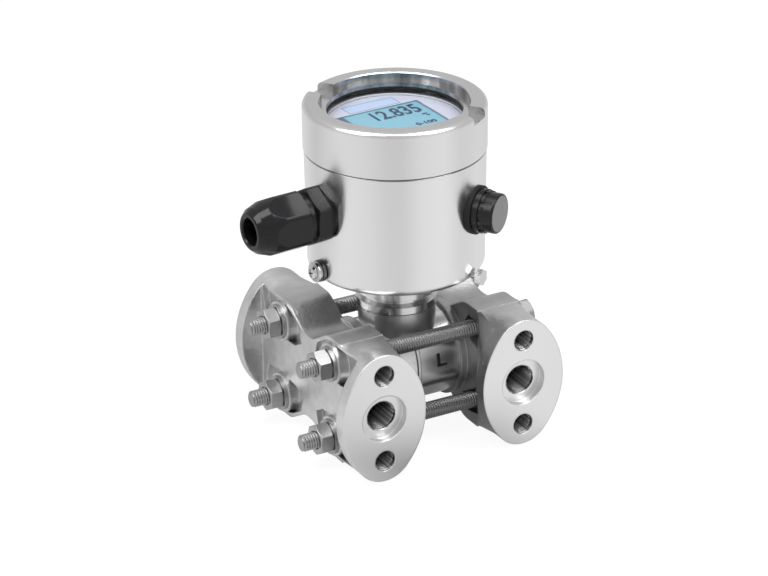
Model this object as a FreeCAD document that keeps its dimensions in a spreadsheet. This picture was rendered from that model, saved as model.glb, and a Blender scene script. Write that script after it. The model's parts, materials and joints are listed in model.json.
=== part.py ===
import FreeCAD, Part
import math
import os
import Sketcher
from FreeCAD import Placement, Rotation, Vector

# Lengths are in millimetres and turns in degrees
SIZES = {
    # Process flanges
    "port_spacing": 70.2,
    "flange_half": 52.4,
    "oval_half_width": 20.5,
    "oval_half_height": 30.5,
    "oval_side_radius": 38.7,
    "port_bolt_half": 20.65,
    "plate_thick": 6.5,
    "core_inside": 11.1,
    "core_outside": 10.0,
    "core_half_height": 28.9,
    "core_half_length": 31.0,
    "core_corner": 1.2,
    "waist_half_height": 20.5,
    "waist_half_length": 4.5,
    "shoulder_half_length": 18.5,
    "waist_round": 12.0,
    "clamp_across": 24.5,
    "clamp_up": 17.9,
    "clamp_hole_radius": 4.5,
    "boss_radius": 9.2,
    "boss_rise": 2.1,
    "pocket_depth": 3.0,
    "pocket_rim": 1.8,
    "pocket_end": 45.3,
    "pocket_low": 9.0,
    "diamond_depth": 4.2,
    "ring_boss_radius": 22.6,
    "ring_boss_length": 3.5,
    "chamber_radius": 14.5,
    "chamber_depth": 1.4,
    "seal_groove_inner": 16.6,
    "seal_groove_outer": 19.2,
    "seal_groove_depth": 1.7,
    "port_recess_radius": 10.8,
    "port_recess_depth": 3.5,
    "port_bore_radius": 6.8,
    "port_bore_end": 20.5,
    "port_passage_radius": 3.5,
    "port_bolt_radius": 4.9,
    "port_bolt_depth": 15.0,
    # Clamp bolts
    "bolt_radius": 3.9,
    "bolt_tail": 7.0,
    "bolt_end_chamfer": 0.7,
    "hex_flats": 13.0,
    "head_height": 5.3,
    "nut_height": 6.5,
    "nut_bore_radius": 3.95,
    "washer_radius": 8.0,
    "washer_bore_radius": 4.3,
    "washer_thick": 1.6,
    # Measuring cell and its neck
    "cell_radius": 21.0,
    "weld_rise": 0.45,
    "lead_bore_radius": 3.5,
    "diaphragm_thick": 0.3,
    "diaphragm_recess": 1.0,
    "neck_radius": 17.5,
    "neck_top": 27.6,
    "neck_bore_radius": 8.5,
    "spigot_radius": 13.0,
    "spigot_top": 53.6,
    "clip_groove_low": 51.4,
    "clip_groove_width": 0.9,
    "clip_radius": 14.6,
    "neck_groove_low": 39.0,
    "neck_groove_width": 2.4,
    "neck_groove_depth": 1.6,
    # Swivel ring under the housing
    "swivel_bottom": 27.95,
    "swivel_radius": 18.3,
    "swivel_bore_radius": 13.05,
    "swivel_collar_radius": 15.5,
    "swivel_groove_radius": 16.0,
    # Housing
    "housing_turn": 4.0,
    "housing_bottom": 46.5,
    "housing_low_radius": 39.6,
    "housing_top_radius": 40.2,
    "housing_edge": 4.2,
    "housing_seam": 102.45,
    "housing_bore_radius": 35.2,
    "housing_floor": 4.5,
    "collar_radius": 37.6,
    "collar_top": 9.05,
    "collar_groove_low": 1.15,
    "collar_groove_width": 2.2,
    "collar_groove_depth": 1.5,
    "entry_height": 79.3,
    "entry_radius": 10.1,
    "plug_azimuth": -60.0,
    "ground_azimuth": 181.0,
    "ground_height": 52.6,
    "ground_hole_radius": 2.05,
    "lock_azimuth": -62.0,
    "lock_height": 48.0,
    "lock_hole_radius": 1.3,
    # Cover with its window, with heights above the seam
    "cover_turn": -53.3,
    "cover_bottom": 0.35,
    "cover_radius": 40.6,
    "cover_bore_radius": 37.65,
    "cover_top": 21.55,
    "cover_edge": 2.3,
    "cover_rim_radius": 33.0,
    "cover_ledge": 17.75,
    "cover_lip_radius": 30.0,
    "cover_lip_bottom": 15.95,
    "cover_seat_radius": 36.3,
    "cover_seat_bottom": 9.85,
    "slot_width": 11.8,
    "window_radius": 35.9,
    "window_top": 14.65,
    "window_thick": 2.0,
    "gasket_top": 15.65,
    "retainer_thick": 2.5,
    # Display and electronics, with heights above the seam
    "display_turn": 2.0,
    "face_radius": 29.7,
    "face_top": 11.75,
    "face_thick": 0.8,
    "lcd_width": 41.0,
    "lcd_front": -14.0,
    "lcd_back": 15.5,
    "lcd_gap": 0.3,
    "lcd_top": 11.55,
    "tray_bottom": 1.55,
    "tray_floor": 1.5,
    "tray_wall": 1.6,
    "display_board_top": 8.65,
    "board_thick": 1.6,
    "key_radius": 2.2,
    "key_flange_radius": 2.8,
    "key_top": 12.25,
    "key_bottom": 9.45,
    "key_flange_thick": 1.1,
    "key_first": -10.5,
    "key_pitch": 6.5,
    "key_row": -22.5,
    "main_board_bottom": 88.0,
    "main_board_radius": 30.6,
    "spacer_radius": 2.4,
    "spacer_circle": 26.0,
    "terminal_half_width": 15.0,
    "terminal_near": 16.0,
    "terminal_far": 28.0,
    "terminal_height": 11.0,
    # Cable gland
    "gland_flats": 24.0,
    "gland_inner_end": 31.0,
    "gland_seat": 40.3,
    "gland_hex_end": 46.7,
    "gland_ring_end": 49.7,
    "gland_ring_radius": 10.9,
    "gland_thread_radius": 9.8,
    "gland_thread_end": 63.0,
    "gland_stem_radius": 9.9,
    "gland_bore_radius": 6.6,
    "gland_room_radius": 8.25,
    "gland_room_start": 47.0,
    "insert_radius": 7.9,
    "insert_bore_radius": 5.0,
    "insert_end": 66.5,
    "cap_start": 50.05,
    "cap_corner_radius": 13.3,
    "cap_shoulder": 62.5,
    "cap_end": 74.9,
    "cap_end_radius": 8.6,
    "cap_mouth_radius": 6.1,
    "cap_bore_radius": 9.85,
    # Blanking plug
    "plug_stem_radius": 8.0,
    "plug_hole_radius": 8.2,
    "plug_seat": 41.3,
    "plug_band_radius": 9.9,
    "plug_band_end": 44.2,
    "plug_radius": 9.0,
    "plug_end": 51.0,
    "plug_edge": 0.9,
    # Ground screw and lock screw
    "ground_head_radius": 4.5,
    "ground_head_thick": 2.6,
    "ground_clamp_half": 4.8,
    "ground_shank_radius": 2.0,
    "lock_flats": 6.6,
    "lock_head_start": 41.0,
    "lock_head_thick": 2.8,
    "lock_shank_radius": 1.25,
}


class Size:
    """A number together with the sheet formula that it comes from."""

    def __init__(self, value, formula):
        self.value = value
        self.formula = formula

    def __add__(self, other):
        return joined(self, other, "+", self.value + size(other).value)

    def __radd__(self, other):
        return size(other) + self

    def __sub__(self, other):
        return joined(self, other, "-", self.value - size(other).value)

    def __rsub__(self, other):
        return size(other) - self

    def __mul__(self, other):
        return joined(self, other, "*", self.value * size(other).value)

    def __rmul__(self, other):
        return size(other) * self

    def __neg__(self):
        return size(0) - self

    @property
    def bound(self):
        """True when the number comes from the sheet."""
        return "Sizes." in self.formula


def size(item):
    """Return a plain number as a size, and a size as it is."""
    if isinstance(item, Size):
        return item
    return Size(float(item), repr(float(item)))


def joined(first, second, sign, value):
    """Return the size of a sum, difference or product."""
    return Size(value, "(%s%s(%s))" % (first.formula, sign, size(second).formula))


class Sheet:
    """The spreadsheet with every driving size, read by its names."""

    def __init__(self, doc):
        self.cells = doc.addObject("Spreadsheet::Sheet", "Sizes")
        for row, (name, value) in enumerate(SIZES.items(), start=1):
            self.cells.set("A%d" % row, name)
            self.cells.set("B%d" % row, str(value))
            self.cells.setAlias("B%d" % row, name)
        doc.recompute()

    def __getattr__(self, name):
        return Size(float(self.cells.get(name)), "Sizes." + name)


doc = FreeCAD.newDocument("transmitter")
dim = Sheet(doc)
pieces = []


def above_seam(height):
    """Return a height that is given above the seam between housing and cover."""
    return dim.housing_seam + height


class Shape2D:
    """Closed outlines and circles that one sketch holds."""

    def __init__(self, sketch):
        self.sketch = sketch
        self.rules = []

    def rule(self, constraint, formula=None):
        """Keep a constraint and the formula that drives it."""
        self.rules.append((constraint, formula))

    def fix(self, item, point, u, v):
        """Hold a point at a distance from the sketch's origin."""
        for axis, name, where in ((-2, "DistanceX", size(u)), (-1, "DistanceY", size(v))):
            if where.value == 0 and not where.bound:
                self.rule(Sketcher.Constraint("PointOnObject", item, point, axis))
            else:
                formula = where.formula if where.bound else None
                self.rule(Sketcher.Constraint(name, -1, 1, item, point, where.value), formula)

    def circle(self, u, v, radius):
        """Add a whole circle."""
        centre = Vector(size(u).value, size(v).value, 0)
        radius = size(radius)
        item = self.sketch.addGeometry(Part.Circle(centre, Vector(0, 0, 1), radius.value))
        self.fix(item, 3, u, v)
        formula = radius.formula if radius.bound else None
        self.rule(Sketcher.Constraint("Radius", item, radius.value), formula)

    def outline(self, corners):
        """Add a closed outline; a corner of four numbers starts an arc about the centre it names."""
        items = []
        count = len(corners)
        for index, corner in enumerate(corners):
            following = corners[(index + 1) % count]
            start = Vector(size(corner[0]).value, size(corner[1]).value, 0)
            end = Vector(size(following[0]).value, size(following[1]).value, 0)
            if len(corner) == 2:
                item = self.sketch.addGeometry(Part.LineSegment(start, end))
                items.append((item, 1, 2))
            else:
                items.append(self.arc(start, end, corner[2], corner[3]))
        for index, corner in enumerate(corners):
            item, first, last = items[index]
            following = items[(index + 1) % count]
            self.fix(item, first, corner[0], corner[1])
            self.rule(Sketcher.Constraint("Coincident", item, last, following[0], following[1]))

    def arc(self, start, end, u, v):
        """Add the shorter arc between two points about a centre."""
        centre = Vector(size(u).value, size(v).value, 0)
        ring = Part.Circle(centre, Vector(0, 0, 1), (start - centre).Length)
        first = math.atan2(start.y - centre.y, start.x - centre.x)
        last = math.atan2(end.y - centre.y, end.x - centre.x)
        sweep = (last - first) % (2 * math.pi)
        if sweep <= math.pi:
            item = self.sketch.addGeometry(Part.ArcOfCircle(ring, first, first + sweep))
            ends = (item, 1, 2)
        else:
            item = self.sketch.addGeometry(Part.ArcOfCircle(ring, last, last + 2 * math.pi - sweep))
            ends = (item, 2, 1)
        chord = end - start
        name, where = ("DistanceX", size(u)) if abs(chord.y) > abs(chord.x) else ("DistanceY", size(v))
        if where.value == 0 and not where.bound:
            axis = -2 if name == "DistanceX" else -1
            self.rule(Sketcher.Constraint("PointOnObject", item, 3, axis))
        else:
            formula = where.formula if where.bound else None
            self.rule(Sketcher.Constraint(name, -1, 1, item, 3, where.value), formula)
        return ends

    def close(self):
        """Write the constraints and bind their values to the sheet."""
        first = self.sketch.ConstraintCount
        self.sketch.addConstraint([constraint for constraint, formula in self.rules])
        for index, (constraint, formula) in enumerate(self.rules):
            if formula:
                self.sketch.setExpression("Constraints[%d]" % (first + index), formula)


class Piece:
    """One sub-part: a body with its label, its place and its features."""

    def __init__(self, name, x=0, y=0, z=0, turn=0):
        self.body = doc.addObject("PartDesign::Body", name)
        self.body.Label = name
        self.body.AllowCompound = True
        where = [size(x), size(y), size(z)]
        rotation = Rotation(Vector(0, 0, 1), size(turn).value)
        self.body.Placement = Placement(Vector(*[item.value for item in where]), rotation)
        for letter, item in zip("xyz", where):
            if item.bound:
                self.body.setExpression("Placement.Base." + letter, item.formula)
        self.count = 0
        pieces.append(self.body)

    def name(self, kind):
        """Return the next feature name."""
        self.count += 1
        return "%s_%s_%d" % (self.body.Name, kind, self.count)

    def sketch(self, plane, away, spin=0):
        """Start a sketch on an origin plane, moved along its axis and turned about Z."""
        item = self.body.newObject("Sketcher::SketchObject", self.name("sketch"))
        origin = [part for part in self.body.Origin.OriginFeatures if part.Role == plane][0]
        item.AttachmentSupport = [(origin, "")]
        item.MapMode = "FlatFace"
        away = -size(away) if plane == "XZ_Plane" else size(away)
        rotation = Rotation(Vector(0, 1, 0), size(spin).value)
        item.AttachmentOffset = Placement(rotation.multVec(Vector(0, 0, away.value)), rotation)
        if away.bound and size(spin).value == 0:
            item.setExpression("AttachmentOffset.Base.z", away.formula)
        return item

    def drawn(self, sketch, shapes):
        """Draw circles (three sizes) and outlines (lists of corners) in a sketch."""
        drawing = Shape2D(sketch)
        for shape in shapes:
            if isinstance(shape, tuple):
                drawing.circle(*shape)
            else:
                drawing.outline(shape)
        drawing.close()

    def bar(self, plane, start, end, shapes, cut=False, spin=0):
        """Fill or cut shapes from start to end along the axis square to a plane."""
        sketch = self.sketch(plane, start, spin)
        self.drawn(sketch, shapes)
        kind = "PartDesign::Pocket" if cut else "PartDesign::Pad"
        feature = self.body.newObject(kind, self.name("cut" if cut else "bar"))
        feature.Profile = sketch
        length = size(end) - start
        feature.Length = length.value
        if length.bound:
            feature.setExpression("Length", length.formula)
        feature.Reversed = (plane == "XZ_Plane") != cut
        return feature

    def turned(self, plane, axis, shapes, cut=False, away=0):
        """Turn shapes once round an axis of their sketch."""
        sketch = self.sketch(plane, away)
        self.drawn(sketch, shapes)
        kind = "PartDesign::Groove" if cut else "PartDesign::Revolution"
        feature = self.body.newObject(kind, self.name("groove" if cut else "turned"))
        feature.Profile = sketch
        feature.ReferenceAxis = (sketch, [axis])
        feature.Angle = 360
        return feature

    def mirrored(self, features, planes):
        """Repeat features in mirror image across origin planes."""
        multi = self.body.newObject("PartDesign::MultiTransform", self.name("mirrors"))
        multi.Originals = features
        steps = []
        for plane in planes:
            origin = [part for part in self.body.Origin.OriginFeatures if part.Role == plane][0]
            step = doc.addObject("PartDesign::Mirrored", self.name("mirror"))
            step.MirrorPlane = (origin, [""])
            self.body.addObject(step)
            steps.append(step)
        multi.Transformations = steps
        self.body.Tip = multi
        return multi


def box(left, low, right, high):
    """Return the four corners of a rectangle."""
    return [(left, low), (right, low), (right, high), (left, high)]


def hexagon(flats, u=0, v=0):
    """Return the six corners of a hexagon with points up and down."""
    half = size(flats) * 0.5
    side = size(flats) * 0.28867513
    return [
        (size(u) + half, size(v) - side),
        (size(u) + half, size(v) + side),
        (size(u), size(v) + side * 2),
        (size(u) - half, size(v) + side),
        (size(u) - half, size(v) - side),
        (size(u), size(v) - side * 2),
    ]


def oval():
    """Return the outline of an oval process face: two side arcs and two end arcs."""
    half = dim.oval_half_height.value
    side = dim.oval_side_radius.value
    away = side - dim.oval_half_width.value
    small = (side * side - away * away - half * half) / (2 * (side - half))
    up = half - small
    across = small * away / (side - small)
    high = up + small * up / (side - small)
    level = half * 0.4
    wide = math.sqrt(side * side - level * level) - away
    return [
        (wide, -level, -away, 0),
        (wide, level, -away, 0),
        (across, high, 0, up),
        (-across, high, away, 0),
        (-wide, level, away, 0),
        (-wide, -level, away, 0),
        (-across, -high, 0, -up),
        (across, -high, -away, 0),
    ]


def core_outline():
    """Return the side view of a flange between its two ends, with a waist in the middle."""
    turn = math.atan2(
        dim.core_half_height.value - dim.waist_half_height.value,
        dim.shoulder_half_length.value - dim.waist_half_length.value)
    reach = dim.waist_round * math.tan(turn / 2)
    along = reach * math.cos(turn)
    rise = reach * math.sin(turn)
    waist = dim.waist_half_height
    top = dim.core_half_height
    first = dim.waist_half_length
    last = dim.shoulder_half_length
    hollow = (first - reach, waist, first - reach, waist + dim.waist_round)
    crest = (last + reach, top - dim.waist_round)
    quarter = [
        hollow,
        (first + along, waist + rise),
        (last - along, top - rise) + crest,
        (last + reach, top),
        (dim.core_half_length, top),
    ]
    mirrored = [
        (dim.core_half_length, top),
        (last + reach, top) + crest,
        (last - along, top - rise),
        (first + along, waist + rise) + hollow[2:],
        (first - reach, waist),
    ]
    corners = []
    for across, up in ((1, 1), (1, -1), (-1, -1), (-1, 1)):
        for corner in quarter if across * up > 0 else mirrored:
            corners.append(tuple(item * sign for item, sign in zip(corner, (across, up, across, up))))
    return corners


def end_section():
    """Return the section of a flange core where the flare to the oval starts."""
    left = -dim.core_inside + 0.05
    right = dim.core_outside - 0.05
    top = dim.core_half_height - 0.05
    edge = dim.core_corner
    return [
        (right, -top + edge),
        (right, top - edge, right - edge, top - edge),
        (right - edge, top),
        (left + edge, top, left + edge, top - edge),
        (left, top - edge),
        (left, -top + edge, left + edge, -top + edge),
        (left + edge, -top),
        (right - edge, -top, right - edge, -top + edge),
    ]


def clamp_points():
    """Return the four clamp bolt centres across and up."""
    return [(dim.clamp_across * a, dim.clamp_up * b) for a, b in ((1, 1), (-1, 1), (-1, -1), (1, -1))]


def process_flange(name, x, turn):
    """Build a cast flange, with +X pointing away from the cell."""
    part = Piece(name, x, dim.flange_half, 0, turn)
    inside = -dim.core_inside
    outside = dim.core_outside
    plate = dim.flange_half - dim.plate_thick
    part.bar("YZ_Plane", inside, outside, [core_outline()])
    for end in (1, -1):
        root = part.sketch("XZ_Plane", (dim.core_half_length - 0.01) * end)
        part.drawn(root, [end_section()])
        rim = part.sketch("XZ_Plane", plate * end)
        part.drawn(rim, [oval()])
        flare = part.body.newObject("PartDesign::AdditiveLoft", part.name("flare"))
        flare.Profile = root
        flare.Sections = [rim]
    beyond = dim.oval_half_width + 2
    over = dim.oval_half_height + 2
    part.bar("YZ_Plane", outside, beyond, [box(-plate, -over, plate, over)], True)
    part.bar("XZ_Plane", plate, dim.flange_half, [oval()])
    part.bar("XZ_Plane", -dim.flange_half, -plate, [oval()])
    # Recesses outside, each with the boss of a clamp bolt standing in it
    floor = outside - dim.pocket_depth
    part.bar("YZ_Plane", floor, outside + 1, [pocket(a, b) for a in (1, -1) for b in (1, -1)], True)
    bosses = [(y, z, dim.boss_radius) for y, z in clamp_points()]
    part.bar("YZ_Plane", floor - 1, outside + dim.boss_rise, bosses)
    # Recesses inside, round the bolts
    diamonds = []
    for a in (1, -1):
        for b in (1, -1):
            corners = [(17.2, 17.0), (23.0, 24.0), (38.0, 21.4), (30.5, 9.6)]
            diamonds.append([(a * y, b * z) for y, z in corners])
    part.bar("YZ_Plane", -22, inside + dim.diamond_depth, diamonds, True)
    # Seat of the measuring cell with its chamber and seal groove
    seat = inside - dim.ring_boss_length
    part.bar("YZ_Plane", seat, inside + 1, [(0, 0, dim.ring_boss_radius)])
    part.bar("YZ_Plane", seat, seat + dim.chamber_depth, [(0, 0, dim.chamber_radius)], True)
    groove = [(0, 0, dim.seal_groove_inner), (0, 0, dim.seal_groove_outer)]
    part.bar("YZ_Plane", seat, seat + dim.seal_groove_depth, groove, True)
    part.bar("YZ_Plane", seat, 0, [(0, 0, 2.5)], True)
    clamps = [(y, z, dim.clamp_hole_radius) for y, z in clamp_points()]
    part.bar("YZ_Plane", -25, 30, clamps, True)
    # Threaded ports with the passage between them
    half = dim.flange_half
    recess = half - dim.port_recess_depth
    bore = half - dim.port_bore_end
    cone = bore - 3
    right = [
        (half, 0),
        (half, dim.port_recess_radius),
        (recess, dim.port_recess_radius),
        (recess, dim.port_bore_radius),
        (bore, dim.port_bore_radius),
        (cone, dim.port_passage_radius),
    ]
    left = [(-y, z) for y, z in reversed(right)]
    part.turned("YZ_Plane", "H_Axis", [right + left], True)
    depth = half - dim.port_bolt_depth
    holes = [(0, dim.port_bolt_half, dim.port_bolt_radius), (0, -dim.port_bolt_half, dim.port_bolt_radius)]
    part.bar("XZ_Plane", depth, half, holes, True)
    part.bar("XZ_Plane", -half, -depth, holes, True)
    return part


def pocket(across, up):
    """Return one recess between the middle web, the rim and an oval plate."""
    top = dim.core_half_height - dim.pocket_rim
    waist = dim.waist_half_height
    points = [
        (dim.waist_half_length + 1.9, waist - 6.5),
        (dim.waist_half_length + 8.5, dim.pocket_low + 1.2),
        (dim.core_half_length - 1, dim.pocket_low),
        (dim.core_half_length + 9, dim.pocket_low + 2),
        (dim.pocket_end, top),
        (dim.shoulder_half_length + 2.5, top),
        (dim.shoulder_half_length - 2, top - 1.5),
        (dim.waist_half_length + 4.1, waist + 0.3),
    ]
    return [(y * across, z * up) for y, z in points]


def ring(inner, low, outer, high):
    """Return the section of a plain ring in a sketch of radius and height."""
    return box(inner, low, outer, high)


process_flange("flange_low", dim.port_spacing * 0.5, 0)
process_flange("flange_high", dim.port_spacing * -0.5, 180)

# Clamp bolts with heads on the low pressure side and nuts on the other
seat_out = dim.port_spacing * 0.5 + dim.core_outside + dim.boss_rise
clamp_face = seat_out + dim.washer_thick


def turned_about_clamp(part, corners, cut=False):
    """Turn a section of radius against X round the axis of the first clamp bolt."""
    sketch = part.sketch("XZ_Plane", dim.clamp_across)
    drawing = Shape2D(sketch)
    drawing.outline([(x, dim.clamp_up + r) for x, r in corners])
    up = dim.clamp_up.value
    axis = sketch.addGeometry(Part.LineSegment(Vector(0, up, 0), Vector(9, up, 0)), True)
    drawing.fix(axis, 1, 0, dim.clamp_up)
    drawing.fix(axis, 2, 9, dim.clamp_up)
    drawing.close()
    kind = "PartDesign::Groove" if cut else "PartDesign::Revolution"
    feature = part.body.newObject(kind, part.name("groove" if cut else "turned"))
    feature.Profile = sketch
    feature.ReferenceAxis = (sketch, ["Axis0"])
    feature.Angle = 360
    return feature


def flats_about_clamp(part, start, end):
    """Cut the six flats of a nut or head on the first clamp bolt."""
    blank = (dim.clamp_across, dim.clamp_up, dim.hex_flats)
    shape = hexagon(dim.hex_flats, dim.clamp_across, dim.clamp_up)
    return part.bar("YZ_Plane", start, end, [blank, shape], True)


hex_corner = dim.hex_flats * 0.57735
hex_face = dim.hex_flats * 0.475
hex_drop = (hex_corner - hex_face) * 0.57735

part = Piece("clamp_bolts", 0, dim.flange_half, 0)
head_end = clamp_face + dim.head_height
tail = -clamp_face - dim.nut_height - dim.bolt_tail
blank = turned_about_clamp(part, [
    (tail, 0),
    (tail, dim.bolt_radius - dim.bolt_end_chamfer),
    (tail + dim.bolt_end_chamfer, dim.bolt_radius),
    (clamp_face, dim.bolt_radius),
    (clamp_face, hex_corner),
    (head_end - hex_drop, hex_corner),
    (head_end, hex_face),
    (head_end, 0),
])
flats = flats_about_clamp(part, clamp_face, head_end)
part.mirrored([blank, flats], ["XZ_Plane", "XY_Plane"])

part = Piece("clamp_nuts", 0, dim.flange_half, 0)
nut_end = -clamp_face - dim.nut_height
blank = turned_about_clamp(part, [
    (nut_end, dim.nut_bore_radius + 0.5),
    (nut_end, hex_face),
    (nut_end + hex_drop, hex_corner),
    (-clamp_face - hex_drop, hex_corner),
    (-clamp_face, hex_face),
    (-clamp_face, dim.nut_bore_radius),
    (nut_end + 0.5, dim.nut_bore_radius),
])
flats = flats_about_clamp(part, nut_end, -clamp_face)
part.mirrored([blank, flats], ["XZ_Plane", "XY_Plane"])

part = Piece("clamp_washers", 0, dim.flange_half, 0)
rings = [(y, z, dim.washer_radius) for y, z in clamp_points()]
rings += [(y, z, dim.washer_bore_radius) for y, z in clamp_points()]
part.bar("YZ_Plane", seat_out, clamp_face, rings)
part.bar("YZ_Plane", -clamp_face, -seat_out, rings)

# Pipe plugs that close the rear ports
part = Piece("port_plugs", 0, dim.flange_half, 0)
plug_out = dim.flange_half - dim.port_recess_depth - 0.5
ports = [(dim.port_spacing * side, 0, dim.port_bore_radius - 0.02) for side in (0.5, -0.5)]
part.bar("XZ_Plane", plug_out - 11, plug_out, ports)
sockets = [hexagon(7, dim.port_spacing * side, 0) for side in (0.5, -0.5)]
part.bar("XZ_Plane", plug_out - 6, plug_out, sockets, True)

# Measuring cell between the flanges
part = Piece("measuring_cell", 0, dim.flange_half, 0)
half = dim.port_spacing * 0.5 - dim.core_inside - dim.ring_boss_length
inner = half - dim.diaphragm_recess
right = [
    (0.6, dim.cell_radius + dim.weld_rise),
    (1.1, dim.cell_radius),
    (half, dim.cell_radius),
    (half, dim.chamber_radius),
    (inner, dim.chamber_radius),
    (inner, 0),
]
left = [(x * -1, r) for x, r in reversed(right)]
part.turned("XZ_Plane", "H_Axis", [right + left])
part.bar("XY_Plane", 5, dim.cell_radius + 2, [(0, 0, dim.lead_bore_radius)], True)

for name, side in (("cell_diaphragm_low", 1), ("cell_diaphragm_high", -1)):
    part = Piece(name, 0, dim.flange_half, 0, 0 if side > 0 else 180)
    near = inner
    far = inner + dim.diaphragm_thick
    part.turned("XZ_Plane", "H_Axis", [[
        (near, 0),
        (near, dim.chamber_radius - 0.05),
        (far, dim.chamber_radius - 0.05),
        (far, 10.5),
        (far + 0.3, 9.7),
        (far + 0.3, 9.0),
        (far, 8.2),
        (far, 0),
    ]])

for name, turn in (("cell_seal_low", 0), ("cell_seal_high", 180)):
    part = Piece(name, 0, dim.flange_half, 0, turn)
    middle = (dim.seal_groove_inner + dim.seal_groove_outer) * 0.5
    reach = dim.seal_groove_depth
    part.turned("XZ_Plane", "H_Axis", [[
        (half, middle - 0.6),
        (half + reach * 0.5, middle - 1.2),
        (half + reach, middle - 0.6),
        (half + reach, middle + 0.6),
        (half + reach * 0.5, middle + 1.2),
        (half, middle + 0.6),
    ]])

# Neck on the cell, with the spigot that the housing turns on
part = Piece("cell_neck", 0, dim.flange_half, 0)
part.bar("XY_Plane", 6, dim.neck_top, [(0, 0, dim.neck_radius)])
part.bar("XY_Plane", dim.neck_top, dim.spigot_top, [(0, 0, dim.spigot_radius)])
part.bar("YZ_Plane", dim.neck_radius * -1.1, dim.neck_radius * 1.1, [(0, 0, dim.cell_radius)], True)
part.bar("YZ_Plane", -1.2, 1.2, [(0, 0, dim.cell_radius + dim.weld_rise)], True)
part.bar("XY_Plane", 0, dim.spigot_top, [(0, 0, dim.neck_bore_radius)], True)
groove_top = dim.clip_groove_low + dim.clip_groove_width
neck_groove = dim.spigot_radius - dim.neck_groove_depth
neck_groove_top = dim.neck_groove_low + dim.neck_groove_width
part.turned("XZ_Plane", "V_Axis", [
    ring(dim.spigot_radius - 0.8, dim.clip_groove_low, dim.spigot_radius + 1, groove_top),
    ring(neck_groove, dim.neck_groove_low, dim.spigot_radius + 1, neck_groove_top),
], True)

part = Piece("neck_oring", 0, dim.flange_half, 0)
part.turned("XZ_Plane", "V_Axis", [[
    (neck_groove + 0.05, dim.neck_groove_low + 0.6),
    (neck_groove + 0.8, dim.neck_groove_low + 0.1),
    (dim.spigot_radius - 0.02, dim.neck_groove_low + 0.8),
    (dim.spigot_radius - 0.02, dim.neck_groove_low + 1.6),
    (neck_groove + 0.8, neck_groove_top - 0.1),
    (neck_groove + 0.05, neck_groove_top - 0.6),
]])

part = Piece("swivel_clip", 0, dim.flange_half, 0)
clip_top = groove_top - 0.05
clip = [(0, 0, dim.clip_radius), (0, 0, dim.spigot_radius - 0.75)]
part.bar("XY_Plane", dim.clip_groove_low + 0.05, clip_top, clip)
part.bar("XY_Plane", dim.clip_groove_low - 1, clip_top + 1, [box(-2, 5, 2, 20)], True)

# Polished ring with a groove, fixed under the housing
part = Piece("swivel_ring", 0, dim.flange_half, 0, dim.housing_turn)
bottom = dim.swivel_bottom
floor_top = dim.housing_bottom + dim.housing_floor
part.turned("XZ_Plane", "V_Axis", [[
    (dim.swivel_bore_radius, bottom),
    (dim.swivel_radius - 0.5, bottom),
    (dim.swivel_radius, bottom + 0.5),
    (dim.swivel_radius, bottom + 3.7),
    (dim.swivel_groove_radius, bottom + 4.9),
    (dim.swivel_groove_radius, bottom + 5.8),
    (dim.swivel_radius, bottom + 7.0),
    (dim.swivel_radius, dim.housing_bottom),
    (dim.swivel_collar_radius, dim.housing_bottom),
    (dim.swivel_collar_radius, floor_top),
    (dim.swivel_bore_radius, floor_top),
]])

# Housing, turned from bar, with its threaded collar
part = Piece("housing", 0, dim.flange_half, 0, dim.housing_turn)
low = dim.housing_bottom
edge = dim.housing_edge
groove_low = above_seam(dim.collar_groove_low)
groove_high = groove_low + dim.collar_groove_width
part.turned("XZ_Plane", "V_Axis", [[
    (dim.swivel_collar_radius, low),
    (dim.housing_low_radius - edge, low, dim.housing_low_radius - edge, low + edge),
    (dim.housing_low_radius, low + edge),
    (dim.housing_top_radius, dim.housing_seam - 0.4),
    (dim.housing_top_radius - 0.4, dim.housing_seam),
    (dim.collar_radius, dim.housing_seam),
    (dim.collar_radius, groove_low),
    (dim.collar_radius - dim.collar_groove_depth, groove_low),
    (dim.collar_radius - dim.collar_groove_depth, groove_high),
    (dim.collar_radius, groove_high),
    (dim.collar_radius, above_seam(dim.collar_top) - 0.6),
    (dim.collar_radius - 0.6, above_seam(dim.collar_top)),
    (dim.housing_bore_radius, above_seam(dim.collar_top)),
    (dim.housing_bore_radius, floor_top),
    (dim.swivel_collar_radius, floor_top),
]])
entry = dim.entry_height
wall_in = dim.housing_bore_radius - 10.2
wall_out = dim.housing_top_radius + 9.8
part.bar("YZ_Plane", wall_in, wall_out, [(0, entry, dim.entry_radius)], True, 180)
part.bar("YZ_Plane", wall_in, wall_out, [(0, entry, dim.plug_hole_radius)], True, dim.plug_azimuth)
ground_hole = [(0, dim.ground_height, dim.ground_hole_radius)]
part.bar("YZ_Plane", wall_in, wall_out, ground_hole, True, dim.ground_azimuth)
lock_hole = [(0, dim.lock_height, dim.lock_hole_radius)]
part.bar("YZ_Plane", wall_in + 2, wall_out, lock_hole, True, dim.lock_azimuth)

part = Piece("cover_oring", 0, dim.flange_half, 0, dim.housing_turn)
oring_in = dim.collar_radius - dim.collar_groove_depth
part.turned("XZ_Plane", "V_Axis", [[
    (oring_in, groove_low + 0.6),
    (oring_in + 0.7, groove_low + 0.05),
    (dim.collar_radius - 0.02, groove_low + 0.7),
    (dim.collar_radius - 0.02, groove_high - 0.7),
    (oring_in + 0.7, groove_high - 0.05),
    (oring_in, groove_high - 0.6),
]])

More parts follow.
